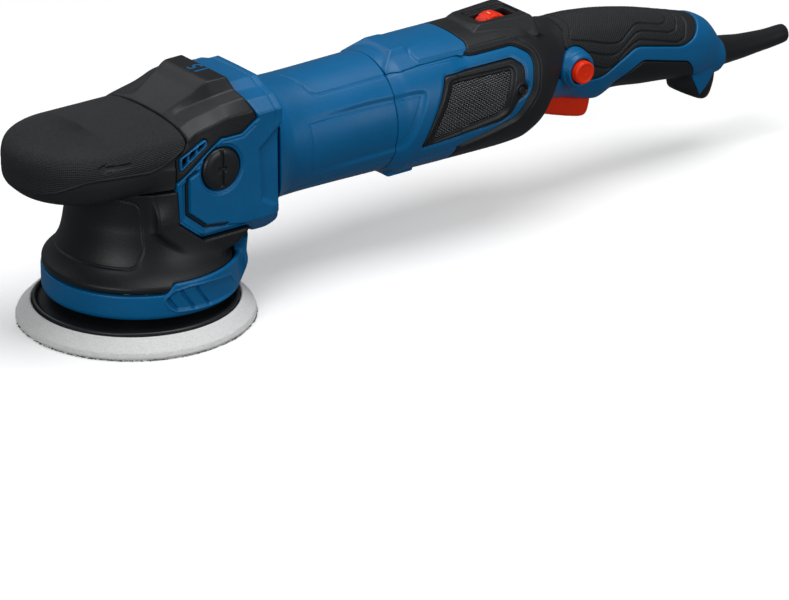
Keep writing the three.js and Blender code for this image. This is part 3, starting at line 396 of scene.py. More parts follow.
# ------------------------------------------------------------------ materials
class Nodes:
    """A material's node tree, with short ways to add and link nodes."""

    def __init__(self, name):
        self.material = bpy.data.materials.new(name)
        self.material.use_nodes = True
        self.tree = self.material.node_tree
        self.shader = self.tree.nodes["Principled BSDF"]
        self.object = self.add("ShaderNodeTexCoord").outputs["Object"]

    def add(self, kind, **settings):
        node = self.tree.nodes.new(kind)
        for key, value in settings.items():
            setattr(node, key, value)
        return node

    def link(self, source, target):
        if hasattr(source, "is_output"):
            self.tree.links.new(source, target)
        else:
            target.default_value = source

    def noise(self, scale, detail=2.0, rough=0.5, vector=None):
        node = self.add("ShaderNodeTexNoise")
        self.link(vector or self.object, node.inputs["Vector"])
        node.inputs["Scale"].default_value = scale
        node.inputs["Detail"].default_value = detail
        node.inputs["Roughness"].default_value = rough
        return node.outputs["Fac"]

    def math(self, operation, a, b=0.0, clamp=False):
        node = self.add("ShaderNodeMath", operation=operation, use_clamp=clamp)
        self.link(a, node.inputs[0])
        self.link(b, node.inputs[1])
        return node.outputs[0]

    def spread(self, value, low, high, start=0.0, end=1.0):
        node = self.add("ShaderNodeMapRange")
        self.link(value, node.inputs["Value"])
        for key, number in (("From Min", start), ("From Max", end), ("To Min", low), ("To Max", high)):
            node.inputs[key].default_value = number
        return node.outputs["Result"]

    def mix(self, factor, a, b):
        node = self.add("ShaderNodeMix", data_type="RGBA")
        self.link(factor, node.inputs[0])
        for value, socket in ((a, node.inputs[6]), (b, node.inputs[7])):
            self.link(value if hasattr(value, "is_output") else (*value, 1.0), socket)
        return node.outputs[2]

    def bump(self, height, distance, strength=1.0, normal=None):
        node = self.add("ShaderNodeBump")
        self.link(height, node.inputs["Height"])
        node.inputs["Distance"].default_value = distance
        node.inputs["Strength"].default_value = strength
        if normal is not None:
            self.link(normal, node.inputs["Normal"])
        return node.outputs["Normal"]

    def axes(self, vector=None):
        node = self.add("ShaderNodeSeparateXYZ")
        self.link(vector or self.object, node.inputs[0])
        return node.outputs

    def finish(self, colour=None, roughness=None, normal=None, **fixed):
        if colour is not None:
            self.link(colour if hasattr(colour, "is_output") else (*colour, 1.0),
                      self.shader.inputs["Base Color"])
        if roughness is not None:
            self.link(roughness, self.shader.inputs["Roughness"])
        if normal is not None:
            self.link(normal, self.shader.inputs["Normal"])
        for key, value in fixed.items():
            self.shader.inputs[key.replace("_", " ")].default_value = value
        return self.material


def shade(colour, factor):
    return tuple(min(1.0, c * factor) for c in colour)


def linear(r, g, b):
    """sRGB 0-255 to linear."""
    return tuple((v / 255 / 12.92) if v / 255 <= 0.04045 else ((v / 255 + 0.055) / 1.055) ** 2.4
                 for v in (r, g, b))


BLUE = linear(2, 96, 148)
BLACK = linear(18, 20, 23)
RUBBER = linear(24, 26, 29)
RED = linear(236, 48, 8)


def plastic(name, colour, roughness=0.42, grain=0.00004, scale=1400, **extra):
    """Spark-eroded moulded plastic: a fine grain, faint mottling, a varying gloss and a painted glint that lightens
    the grain's raised points.
    """
    n = Nodes(name)
    cloud = n.noise(35, 3)
    fine = n.noise(scale, 3, 0.6)
    tint = n.mix(n.spread(cloud, 0, 1, 0.3, 0.7), shade(colour, 0.93), shade(colour, 1.06))
    # painted glint: where the fine grain stands up, the colour is mixed part way towards 1.35 times the plastic's
    raised_grain_glint = n.mix(n.spread(fine, 0, 0.35, 0.45, 0.7), tint, shade(colour, 1.35))
    rough = n.math("ADD", n.spread(cloud, roughness - 0.04, roughness + 0.05, 0.3, 0.7),
                   n.spread(fine, -0.03, 0.03))
    normal = n.bump(n.math("ADD", fine, n.noise(scale * 2.3, 1)), grain)
    return n.finish(raised_grain_glint, rough, normal, **extra)


def ribbed_rubber(name, colour, pitch, depth, roughness=0.62):
    """Soft overmould with a grid of small pads that follows the form's own coordinates (UV); the pads' tops are
    painted lighter and the hollows between them darker, a painted highlight and painted shade.
    """
    n = Nodes(name)
    uv = n.add("ShaderNodeUVMap", uv_map="form").outputs[0]
    across = n.axes(uv)
    waves = [n.math("SINE", n.math("MULTIPLY", across[i], 2 * math.pi / pitch)) for i in (0, 1)]
    pads = n.math("ADD", n.spread(waves[0], 0, 0.45, -0.6, 0.9), n.spread(waves[1], 0, 0.75, -0.6, 0.9))
    textured = n.spread(n.axes(n.add("ShaderNodeUVMap", uv_map="mask").outputs[0])[0], 0, 1, 0.3, 0.7)
    height = n.math("MULTIPLY", pads, textured)
    fine = n.noise(1600, 2)
    # painted highlight and shade: the colour runs from 0.3 to 2.0 times the rubber's with the pads' height, lighter
    # on the tops and darker in the hollows
    tint = n.mix(n.spread(height, 0, 1, 0, 1.1), shade(colour, 0.3), shade(colour, 2.0))
    plain = n.mix(n.spread(n.noise(40, 3), 0, 1, 0.3, 0.7), shade(colour, 0.85), colour)
    surface = n.mix(textured, plain, tint)
    normal = n.bump(fine, 0.00002, normal=n.bump(height, depth))
    rough = n.spread(n.noise(60, 3), roughness - 0.05, roughness + 0.05, 0.3, 0.7)
    return n.finish(surface, rough, normal, Specular_IOR_Level=0.45)


def metal(name, colour, roughness=0.35, brushed=0.0, scale=900):
    """Machined or cast metal with tool marks and a little tarnish."""
    n = Nodes(name)
    stretch = n.add("ShaderNodeMapping")
    n.link(n.object, stretch.inputs["Vector"])
    stretch.inputs["Scale"].default_value = (1, 1, 1 + brushed * 20)
    marks = n.noise(scale, 3, 0.6, stretch.outputs[0])
    cloud = n.noise(60, 4)
    tint = n.mix(n.spread(cloud, 0, 1, 0.35, 0.7), shade(colour, 0.8), colour)
    rough = n.math("ADD", n.spread(cloud, roughness - 0.08, roughness + 0.1, 0.3, 0.7),
                   n.spread(marks, -0.05, 0.05))
    return n.finish(tint, rough, n.bump(marks, 0.00003), Metallic=1.0)


def winding(name):
    """Enamelled copper wire, wound side by side round the motor's axis; each turn is painted lighter on its crown
    and darker where turns meet, a painted highlight and painted shade.
    """
    n = Nodes(name)
    axes = n.axes()
    radius = n.math("SQRT", n.math("ADD", n.math("MULTIPLY", axes[1], axes[1]), n.math(
        "POWER", n.math("SUBTRACT", axes[2], MOTOR_Z * MM), 2)))
    spiral = n.math("ADD", radius, n.math("MULTIPLY", axes[0], 0.9))
    turns = n.math("SINE", n.math("MULTIPLY", spiral, 5600))
    # painted highlight and shade: lighter copper on each turn's crown, darker copper where the turns meet, in step
    # with the bump
    tint = n.mix(n.spread(turns, 0, 1, -1, 1), linear(96, 44, 20), linear(200, 112, 62))
    return n.finish(tint, n.spread(n.noise(300), 0.3, 0.45), n.bump(turns, 0.0002), Metallic=0.85)


def laminated(name):
    """Stacked sheet steel, its layers across X."""
    n = Nodes(name)
    axes = n.axes()
    layers = n.math("SINE", n.math("MULTIPLY", axes[0], 2 * math.pi / 0.0006))
    tint = n.mix(n.spread(layers, 0, 1, -1, 1), linear(84, 86, 90), linear(150, 152, 156))
    return n.finish(tint, n.spread(n.noise(200), 0.35, 0.55), n.bump(layers, 0.00006), Metallic=1.0)


def foam_material(name):
    """Open-cell foam: pale grey with pores and a soft, rough surface; the pores' hollows are painted darker, a
    painted shade.
    """
    n = Nodes(name)
    pores = n.add("ShaderNodeTexVoronoi")
    n.link(n.object, pores.inputs["Vector"])
    pores.inputs["Scale"].default_value = 1500
    cell = n.spread(pores.outputs["Distance"], 0, 1, 0.0, 0.4)
    tone = n.spread(n.noise(900, 3, 0.7), 0, 1, 0.3, 0.7)
    light = n.mix(tone, linear(222, 222, 222), linear(234, 234, 234))
    # painted shade: the colour darkens towards each pore's centre, where the bump makes its hollow
    tint = n.mix(cell, linear(206, 206, 207), light)
    return n.finish(tint, 0.95, n.bump(n.math("ADD", cell, n.noise(1200, 3)), 0.00012),
                    Specular_IOR_Level=0.15)


def hook_material(name):
    n = Nodes(name)
    tint = n.mix(n.spread(n.noise(2500, 2), 0, 1, 0.35, 0.65), linear(14, 14, 15), linear(52, 52, 54))
    return n.finish(tint, 0.9, n.bump(n.noise(3000, 2), 0.0002), Specular_IOR_Level=0.2)


blue = plastic("blue_shell", BLUE, 0.36, Specular_IOR_Level=0.3)
blue_gloss = plastic("blue_rail", BLUE, 0.32, 0.00002, Specular_IOR_Level=0.5)
black = plastic("black_shell", BLACK, 0.44, 0.00006, 1300, Specular_IOR_Level=0.38)
black_smooth = plastic("black_smooth", linear(20, 23, 26), 0.38, 0.00002, Specular_IOR_Level=0.5)
rubber = plastic("soft_rubber", RUBBER, 0.48, 0.00005, 1500, Specular_IOR_Level=0.38)
red = plastic("red_control", RED, 0.38, 0.00002, Specular_IOR_Level=0.25)
sleeve_rubber = plastic("sleeve_rubber", linear(26, 27, 29), 0.32, 0.00001, Specular_IOR_Level=0.5)
palm_rubber = ribbed_rubber("palm_rubber", RUBBER, 1.0, 0.0003)
handle_rubber = ribbed_rubber("handle_rubber", RUBBER, 1.2, 0.0003)
steel = metal("machined_steel", linear(190, 192, 196), 0.3)
cast = metal("cast_aluminium", linear(176, 178, 182), 0.5, scale=500)
brass = metal("brass", linear(196, 160, 84), 0.32)
mesh_steel = metal("screen_steel", linear(122, 124, 128), 0.5, scale=2000)
copper = winding("copper_winding")
laminations = laminated("lamination_stack")
carbon = plastic("carbon", linear(40, 40, 42), 0.55, 0.00006, 2200)
nylon = plastic("nylon", linear(52, 56, 60), 0.5, 0.00004)
foam = foam_material("pad_foam")
hooks = hook_material("hook_fabric")
fleece = hook_material("fleece")
pale_print = plastic("pale_print", linear(240, 214, 200), 0.5, 0.00001)
copper_bar = metal("copper_bar", linear(190, 110, 70), 0.3)


# ------------------------------------------------------------------ head: palm grip, cover, block
NECK_RADIUS = 38.0
GRIP_CENTRE, GRIP_HALF = -36.5, 39.0
GRIP_PROFILE = [
    (-45, 75.8), (-20, 75.8), (-13, 76.2), (-6.6, 78), (-2.2, 82), (-0.2, 88), (0, 93), (0, 97), (-1.2, 102),
    (-4, 105), (-9, 107.2), (-16, 108.8), (-30, 110), (-45, 110.2),
]
HEAD_SIDE = [
    (-2.4, 81.4), (-2, 60), (12.8, 48), (42, 48), (48, 41), (56.4, 41), (62.4, 47), (62.4, 130), (-2.4, 130),
]
ARCH = [(-5, 120), (17, 119.7), (24, 116.2), (32.5, 114), (39.5, 108.4), (39.6, 51), (31, 40.8), (-5, 40.8)]
COVER_SIDE = [
    (4.6, 140), (4.6, 101.6), (-2.4, 94), (-2.4, 81.8), (25, 99.8), (37.5, 99.8), (47.4, 106), (43.6, 116.4),
    (41, 127), (41, 140),
]
COVER_X = (-2.4, 4.6, 12, 22, 31.5, 46)
COVER_HALF = [                      # outline from the crown outwards, one column for each of COVER_X
    ((0, 106), (0, 110.4), (0, 113.8), (0, 119.2), (0, 124), (0, 124)),
    ((14, 105.6), (14, 109.8), (15.6, 113.6), (18, 119), (19.6, 124), (20.2, 124)),
    ((22, 105), (23.6, 108.6), (19.6, 111.4), (21.6, 114.6), (24.2, 117.2), (25.2, 118.8)),
    ((30, 103.4), (30.3, 107.2), (29, 109.8), (30.6, 112.4), (32, 115), (33, 116.2)),
    ((37, 98), (38, 103.4), (37, 106.2), (37.4, 108), (38, 110), (38.3, 110)),
    ((38.4, 84), (39.4, 84), (39.4, 84), (39.4, 84), (39.4, 84), (39.4, 84)),
]
WINDOW = [(-0.3, 94.6), (15.6, 101.6), (16.6, 98.4), (-0.3, 87.4)]
PLUG_X, PLUG_Z = 24.4, 83.7
LIP = [(0, 100.6), (8, 96.6), (16, 93), (23, 91.5), (32, 92.4), (42, 93.4), (52, 93.9), (59, 93.2), (66, 91),
       (75, 87.6), (84, 85.7), (94, 84.4), (103, 83.8)]
ARROW = [(-48.9, 100.2), (-43.6, 102.2), (-43.9, 100.7), (-29.8, 99.7), (-30.2, 97.5), (-44.2, 98.5),
         (-44.4, 96.9)]


def spline(points, steps=5):
    """A smooth open line through the points."""
    p = np.array([points[0], *points, points[-1]], float)
    result = []
    for a, b, c, d in zip(p, p[1:], p[2:], p[3:]):
        for k in range(steps):
            t = k / steps
            result.append(tuple(0.5 * (
                2 * b + (c - a) * t + (2 * a - 5 * b + 4 * c - d) * t ** 2
                + (3 * b - a - 3 * c + d) * t ** 3)))
    result.append(tuple(p[-1]))
    return [(float(a), float(b)) for a, b in result]


def gearbox_room(g):
    """The space that the gearbox casting fills inside the head."""
    return both(g.radius - 31.2, g.z - 101.3)


def grip_plan(x, y):
    """Distance to the grip's plan outline, and the way round it from the rear of either side."""
    front = np.hypot(x - GRIP_CENTRE, y)
    plan = np.where(x < GRIP_CENTRE, front, abs(y) + 0 * x) - GRIP_HALF
    turn = np.arctan2(both(GRIP_CENTRE - x, 0), abs(y) + 1e-6)
    along = both(4.3 - both(x, GRIP_CENTRE), 0) + GRIP_HALF * turn
    return plan.astype(np.float32), along


def palm_grip():
    g = Grid((-76.4, -40, 74.8), (5.4, 40, 111.2))
    plan, along = grip_plan(g.x, g.y)
    d = lathe_field(plan, g.z, spline(GRIP_PROFILE))
    wall = both(g.side - 39 + 9 * ramp((-2 - g.x) / 30), -34 - g.x)
    wall = smax(wall, both(77.7 - g.z, g.z - 90), 0.2)
    d = smin(d, wall, 3.0)
    lip = np.interp(along, *zip(*LIP)).astype(np.float32)
    above = g.z - lip
    d = d + 1.0 * ramp(-above / 0.8) - 0.3 * band(above - 0.2, 0.35, 0.5) * (g.z < 104)
    arrow = g.elevation(ARROW)
    d = d + 1.0 * ramp(-arrow / 0.5) * (g.side > 25)
    seam = g.elevation([(-2.7, 60), (-2.7, 94.2), (4.3, 102), (20, 102), (20, 60)])
    d = cut(d, seam, 0.9)
    d = smax(d, g.x - 4.3, 1.2)
    bore = either(gearbox_room(g), both(g.radius - NECK_RADIUS - GAP, g.z - 78.4))
    d = cut(d, bore, 0.4)

    def uv(points):
        p, a = grip_plan(points[:, 0], points[:, 1])
        return np.stack([a, points[:, 2] + both(-p, 0)], 1) + 500
    thing = moulded("palm_grip_skin", g, d, uv)

    def textured(p):
        lip = np.interp(grip_plan(p[:, 0], p[:, 1])[1], *zip(*LIP))
        return ramp((p[:, 2] - lip - 0.9) / 0.8) * (outline(p[:, 0], p[:, 2], ARROW) > 0.2)
    mask_uv(thing, textured)
    settle(thing, "housing", palm_rubber, "palm_grip")


def mask_uv(thing, rule):
    """A second UV layer whose U says how textured the surface is."""
    mesh = thing.data
    value = rule(coordinates(mesh).astype(float) / MM)
    loops = np.zeros(len(mesh.loops), np.int32)
    mesh.loops.foreach_get("vertex_index", loops)
    layer = mesh.uv_layers.new(name="mask")
    pairs = np.stack([value[loops], 0 * value[loops]], 1)
    layer.data.foreach_set("uv", pairs.astype(np.float32).ravel())


def cover_space(g):
    return g.elevation(COVER_SIDE)


def head_cover():
    g = Grid((-3.4, -40.4, 80.8), (48.6, 40.4, 125.2))
    corners = [tuple(curve(g.x, COVER_X, column) for column in zip(*row)) for row in COVER_HALF]
    bottom, crown = corners[-1][0], corners[0][1]
    low, middle = 70 + 0 * bottom, -6 + 0 * bottom
    form = blur(outline(g.side, g.z, corners + [(bottom, low), (middle, low), (middle, crown)]), 1)
    d = smax(form, cover_space(g), 1.2)
    inside = either(gearbox_room(g), both(g.motor_radius - 28, abs(g.x - 11.5) - 8.5))
    head = outline(g.side, g.z, [(-5, 60), (36.6, 60), (36.6, 104), (30, 107), (-5, 107)])
    d = cut(cut(d, inside, 0.4), both(head, 14 - g.x), 0.4)
    window = g.elevation(WINDOW, 1.6) - 0.35
    d = cut(d, both(window, 35 - g.side), 0.7)
    shell("head_cover_shell", g, d, black, "head_cover")
    place = Matrix.Translation(Vector((37.0, -1.5, 124.02)) * MM) @ Matrix.Rotation(math.pi / 2, 4, "Z")
    numeral("cover_numeral", "15", 12, place, "housing", blue_gloss)


def numeral(name, text, size, matrix, body, material):
    """Raised digits as a mesh of their own."""
    data = bpy.data.curves.new(name, "FONT")
    data.body, data.size, data.extrude = text, size * MM, NUMERAL_RISE * MM
    data.align_x, data.align_y = "CENTER", "CENTER"
    source = placed(name + "_source", data)
    bpy.context.view_layer.update()
    mesh = bpy.data.meshes.new_from_object(source)
    bpy.data.objects.remove(source)
    mesh.transform(matrix)
    mesh.materials.clear()
    settle(placed(name, mesh), body, material)


def head_vent(side):
    g = Grid((-1.6, -40, 86), (17.8, -35, 103), 0.3)
    frame_line = g.elevation(WINDOW, 1.4)
    rim = smax(frame_line, abs(g.y + 37.5) - 1.5, 0.5)
    rim = cut(rim, both(frame_line + 1.1, g.y + 38), 0.5)
    slots = None
    for x in (0.8, 5.9, 11):
        low, high = 88.3 + x * 0.66, 94 + x * 0.44
        slot = g.elevation([(x, low), (x + 3.7, low + 2.5), (x + 3.7, high + 1.5), (x, high)])
        slots = slot if slots is None else either(slots, slot)
    d = cut(rim, slots, 0.5)
    shell("head_vent_insert", g, d, blue_gloss, "head_vent", side=side, least=50)


HEAD_GROOVE = [(9.5, 85.6), (3.9, 83.4), (3.9, 63.6), (14.7, 54.5), (27.4, 52.8)]
HEAD_BAND = [(-3, 82), (-3, 59), (12, 47), (43, 47), (42, 50), (27.4, 52.8), (14.7, 54.5), (3.9, 63.6),
             (3.9, 83.4), (9.5, 85.6), (8, 88.5)]
HEAD_POCKET = [(47.4, 89.2), (66, 104), (66, 49), (48.7, 60.4)]


def head_shell():
    g = Grid((-3.4, -40.2, 40), (63.4, 40.2, 121))
    side = g.elevation(HEAD_SIDE, 1.6)
    d = smax(side, blur(outline(g.side, g.z, ARCH), 1), 0.4 + 1.1 * ramp((59 - g.x) / 4))
    flank = ramp((g.side - 34) / 3)
    rim = both(g.elevation(HEAD_SIDE), GAP - cover_space(g))
    edge = -rim
    inner = g.elevation(HEAD_BAND)
    sink = 1.7 * ramp((edge - 0.9) / 3.6) * ramp(-inner / 0.7)
    line = 0.6 * band(edge - 1.3, 0.2, 0.35) * (g.x < 46)
    groove = 3.6 * band(polyline(g.x, g.z, HEAD_GROOVE), 0.62, 0.4)
    pocket = -g.elevation(HEAD_POCKET)
    fold = 1.7 * np.clip(pocket / 2.2, 0, 1) + 0.03 * np.clip(pocket - 2.2, 0, 20)
    fold = both(fold * (pocket > 0), 1.7 * ramp((g.x - 55) / 6) * (g.z < 66))
    seat = g.round_y(PLUG_X, PLUG_Z)
    collar = 0.9 * ramp((13.9 - seat) / 0.9) * (seat > 11)
    d = d + flank * (sink + line + groove + fold + collar)
    top = ramp((g.z - 100) / 4)
    d = d + top * 0.5 * band(g.x - 58.4, 0.1, 0.6)
    d = cut(d, cover_space(g) - GAP, 0.9)
    d = cut(d, both(g.x - 4.9, 93 - g.z), 0.6)
    bore = either(gearbox_room(g), both(g.motor_radius - 29, 10 - g.x))
    lower = both(g.x - 46.4, g.side - 33, g.z - 66)
    d = cut(d, either(bore, lower), 0.4)
    d = cut(d, both(seat - 12, 36.6 - g.side), 0.5)
    shell("head_block", g, d, blue, "head_shell")
    # painted shade: a black strip laid into HEAD_GROOVE on each side darkens the groove as the deep shade between
    # the parts
    for side in PAIR:
        strip = Grid((2, -38.3, 51), (29, -35.8, 87), 0.4)
        groove_shade = smax(polyline(strip.x, strip.z, HEAD_GROOVE) - 0.72, abs(strip.y + 37) - 0.9, 0.3)
        shell("head_groove_shade_strip", strip, groove_shade, black_smooth, side=side, least=50)


def side_plug(side):
    g = Grid((12.4, -41.2, 71.7), (36.4, -36.6, 95.7), 0.3)
    radius = g.round_y(PLUG_X, PLUG_Z)
    d = lathe_field(radius, g.y, fillet([(-3, -40.4), (8.6, -40.4), (10.8, -39.6), (11.4, -38), (11.4, -37),
                                         (-3, -37)], 1.4))
    slot = both(abs(g.x - PLUG_X) - 0.95, g.y + 39.3, PLUG_Z - 9.6 - g.z)
    ticks = either(both(abs(g.x - PLUG_X) - 2.6, abs(g.z - PLUG_Z) - 0.45),
                   both(abs(abs(g.x - PLUG_X) - 1.9) - 0.4, abs(g.z - PLUG_Z) - 1.5))
    d = cut(cut(d, slot, 0.5), both(ticks, g.y + 39.5), 0.4)
    shell("side_plug_cap", g, d, black_smooth, "side_plug", side=side, least=50)


# ------------------------------------------------------------------ skirt, ring and pad
CHEEK_SIDE = [(-15, 84), (-15, 57.5), (-12, 54.5), (9, 39.5), (19.5, 36.4), (34, 41), (41.6, 47.4), (41.6, 84)]
FLARE = [(38, 79), (38, 74), (38.2, 62), (39.2, 55.7), (40.5, 48.7), (42.3, 43), (44.8, 38.4), (47.4, 35.1),
         (50.6, 32)]
SKIRT_PANEL = [(-95, 40.6), (50, 39.8), (54, 41), (59, 48.8), (57.4, 61), (57, 70.6), (53, 73.6), (33, 76),
               (-95, 76)]
REAR_SECTOR = 51.0                  # degrees from the rear that the ring's column fills
SKIRT_RADIUS = 42                   # where the panel line on the skirt is laid out
RING_RADIUS = 51.5


def bearing_angle(g):
    """Degrees round the spindle's axis from the rear, the same on both sides."""
    return np.degrees(np.arctan2(g.side, g.x)).astype(np.float32)


def skirt():
    g = Grid((-52, -52, 28), (46, 52, 78.4))
    profile = spline(FLARE) + [(51, 31.2), (51, 29.6), (50.6, 28.8), (-5, 28.8), (-5, 79)]
    d = lathe_field(g.radius, g.z, profile)
    lean = 0.09 * both(g.z - 62, 0) + 9 * ramp((-2 - g.x) / 30) * ramp((g.z - 64) / 13.5)
    cheek = smax(g.elevation(CHEEK_SIDE), g.side - 40.4 + lean, 2.0)
    d = smin(d, cheek, 3.5)
    turn = bearing_angle(g)
    front = 180 - turn
    panel = outline(np.radians(front) * SKIRT_RADIUS, g.z, fillet(
        [(math.radians(a) * SKIRT_RADIUS, z) for a, z in SKIRT_PANEL], 3))
    d = d + (0.45 * band(panel, 0.3, 0.4)) * (g.radius > 36) * (front < 66)
    d = smax(d, g.z - 77.5, 0.25)
    head = g.elevation([(-2.7, 95), (-2.3, 59.7), (12.5, 47.7), (60, 47.7), (60, 95)])
    d = cut(d, head, 1.1)
    inside = lathe_field(g.radius, g.z, [
        (-5, 20), (47, 20), (47, 30.4), (37, 42), (34.6, 52), (32, 90), (-5, 90)])
    d = cut(d, inside, 0.4)
    d = cut(d, both(49 - g.radius, g.z - ring_top(turn) - GAP), 0.5)
    sector = both((turn - REAR_SECTOR) * 0.7, g.z - 41, 44 - g.radius)
    d = cut(d, sector, 0.6)
    shell("skirt_shell", g, d, black, "skirt")


def ring_top(turn):
    """Height of the shroud ring: it steps up on the rear half."""
    return 27.7 + 5.2 * ramp((110.5 - turn) / 8)


RING_POCKET = [(110, 25), (104.5, 28.8), (95, 30), (83, 29.6), (62, 27.6), (54, 20), (57, 16.8), (73, 16.8),
               (91, 17.6), (103, 18.4), (107, 20.6)]
BRIDGE = [(-5, 17.4), (51.5, 17.4), (53.4, 20.4), (55.2, 26), (54.6, 31), (55.4, 40.4), (-5, 40.4)]


def shroud_ring():
    g = Grid((-52.2, -52.2, 13.8), (56.2, 52.2, 41))
    turn = bearing_angle(g)
    arc = np.radians(turn) * RING_RADIUS
    outer = lathe_field(g.radius, g.z, fillet([
        (-5, 14.4), (50.2, 14.4), (RING_RADIUS, 16), (RING_RADIUS, 50), (-5, 50)], 1.2))
    pocket = outline(arc, g.z, fillet([(math.radians(a) * RING_RADIUS, z) for a, z in RING_POCKET], 1.2))
    tooth = (turn - 76 - (g.z - 18) * 0.78) / 10.5
    saw = tooth - np.floor(tooth)
    slats = band((saw - 0.5) * 8, 0.45, 0.6) * (tooth > 0) * (tooth < 4)
    depth = (1.1 + 1.3 * slats) * ramp((turn - 55) / 16)
    outer = outer + np.clip(-pocket / 0.7, 0, 1) * depth - 0.4 * band(pocket - 0.5, 0.25, 0.45)
    d = smax(outer, g.z - ring_top(turn), 0.9)
    inner = np.where(g.z > 28.8, 49.3, 47.6)
    d = cut(d, g.radius - inner, 0.5)
    bridge = lathe_field(g.radius, g.z, spline(BRIDGE[1:-1], 4) + [(-5, 40.4), (-5, 17.4)])
    edge = np.radians(turn - 40) * 53
    bridge = smax(smax(bridge, edge, 2.0), 48 - g.radius, 0.6)
    d = smin(d, bridge, 2.4)
    shell("shroud_band", g, d, blue, "shroud_ring")


def circle(sides):
    return 2 * math.pi * np.arange(sides) / sides


def lathe(name, profile, sides=144, x=0.0, y=0.0, wobble=None):
    """A turned piece about an upright axis; profile is closed, [radius, height]."""
    points = np.array(profile, float)
    angles = circle(sides)
    radius, height = (np.tile(points[:, k], (sides, 1)) for k in (0, 1))
    if wobble is not None:
        radius, height = wobble(radius, height, angles[:, None])
    ring = np.stack([x + radius * np.cos(angles)[:, None], y + radius * np.sin(angles)[:, None],
                     height], 2)
    faces = ring_quads(sides, len(points))[:, [0, 3, 2, 1]]
    return mesh_object(name, ring.reshape(-1, 3), faces)


def resampled(points, spacing):
    """The closed profile with points added so that none are further apart than the spacing."""
    result = []
    for (a, b), (c, d) in zip(points, points[1:] + points[:1]):
        count = max(1, int(math.hypot(c - a, d - b) / spacing))
        result += [(a + (c - a) * k / count, b + (d - b) * k / count) for k in range(count)]
    return result


def foam_pad():
    rng = np.random.default_rng(7)
    profile = resampled(fillet([
        (9, 1.6), (59.4, 1.6), (59.8, 0.5), (61.9, 0.5), (62.4, 1.6), (61.6, 4), (56.2, 9.4),
        (55.4, 10.2), (54.3, 10.2), (53.9, 9), (53.8, 6.6), (9, 6.6)], 0.5), 0.8)
    sides = 420
    bumps = rng.normal(0, 1, (sides, len(profile)))
    for axis in (0, 1, 0, 1):
        bumps = (np.roll(bumps, 1, axis) + np.roll(bumps, -1, axis) + 2 * bumps) / 4

    def wobble(radius, height, angle):
        outside = radius > 55
        return radius + outside * (0.16 * bumps - 0.12), height + 0 * angle
    thing = lathe("foam_pad_body", profile, sides, PAD_X, PAD_Y, wobble)
    settle(thing, "pad", foam, "foam_pad")


def backing_plate():
    profile = resampled(fillet([
        (6.3, 6.9), (53.4, 6.9), (53.4, 11.2), (52.8, 11.6), (52, 11.6), (51.5, 11.2), (51, 9.8),
        (50, 9.5), (22, 10.6), (18, 12), (16, 12.8), (6.3, 12.8)], 0.5), 2.5)
    thing = lathe("backing_plate_disc", profile, 200, PAD_X, PAD_Y)
    settle(thing, "pad", black_smooth, "backing_plate")


def hook_face():
    """The hook fabric: a thin disc whose cut edge carries short ragged fibres."""
    rng = np.random.default_rng(11)
    profile = resampled([(3, 0.12), (58.6, 0.12), (59, 0.7), (58.6, 1.3), (3, 1.3)], 3)
    disc = lathe("hook_face_fabric", profile, 240, PAD_X, PAD_Y)
    settle(disc, "pad", hooks, "hook_face")
    count = 1100
    angle = rng.uniform(0, 2 * math.pi, count)
    clumps = 0.5 + 0.5 * np.sin(angle * 9 + 2 * np.sin(angle * 5))
    base = np.stack([61.9 + 0 * angle, rng.uniform(0.25, 0.7, count)], 1)
    reach = rng.uniform(0.4, 1.3, count) * (0.3 + 0.7 * clumps)
    lift, lean = rng.uniform(-0.4, 0.5, count), rng.uniform(-1.6, 1.6, count)
    out = np.stack([np.cos(angle), np.sin(angle), 0 * angle], 1)
    side = np.stack([-np.sin(angle), np.cos(angle), 0 * angle], 1)
    up = np.array([0, 0, 1.0])
    root = np.array([PAD_X, PAD_Y, 0]) + out * base[:, :1] + up * base[:, 1:]
    tip = (root + out * reach[:, None] + side * lean[:, None]
           + up * both(lift, 0.1 - base[:, 1])[:, None])
    thick = rng.uniform(0.1, 0.26, count)[:, None]
    points = np.stack([root + side * thick, root - side * thick * 0.5 + up * thick,
                       root - side * thick * 0.5 - up * thick, tip], 1).reshape(-1, 3)
    first = 4 * np.arange(count)[:, None]
    faces = np.concatenate([first + np.array(f) for f in ((0, 1, 2), (0, 3, 1), (1, 3, 2), (2, 3, 0))])
    fuzz = mesh_object("hook_face_fibres", points, faces)
    settle(fuzz, "pad", hooks)


# ------------------------------------------------------------------ motor barrel and rear housing
def ring_station(x, r):
    return (x, r, MOTOR_Z + r, MOTOR_Z - r, 2.0)


FRONT_BARREL = [
    (62.7, 38.4, 112.2, 47.8, 3.6), (63.7, 37.6, 111.2, 46.6, 3.2), (65.2, 36.6, 110.2, 45.6, 2.8),
    (67.6, 35.2, 109.3, 44.8, 2.45), (71, 33.7, 108.6, 44.3, 2.2), (76, 32.6, 108.1, 44.1, 2.05),
    ring_station(90, 31.9),
    ring_station(142, 32.6),
]
REAR_BODY = [
    (142, 32.6, 108.6, 43.4, 2.0), (151, 34.8, 110, 41, 2.2), (183, 35.3, 110.2, 40.6, 2.25),
    (215, 35.7, 110.2, 40.4, 2.25), (230, 35, 109.6, 41, 2.25), (240, 33, 107.4, 44.6, 2.25),
    (250, 28.6, 103.6, 50.5, 2.25), (258, 24.5, 100.6, 56, 2.3), (268, 21.6, 99.8, 58.6, 2.4),
]
TOP_SEAM = [(89.2, 0), (91.6, 12), (93.6, 26), (95, 34), (97.6, 38), (142, 37.6), (188, 40)]
LABEL = [(83, 57), (128, 56.5), (158, 59.5), (162.4, 64), (157, 84), (148.5, 108), (144, 117), (119, 118.5),
         (83, 121)]
DEGREE = 0.57                       # millimetres of arc to one degree round the barrel
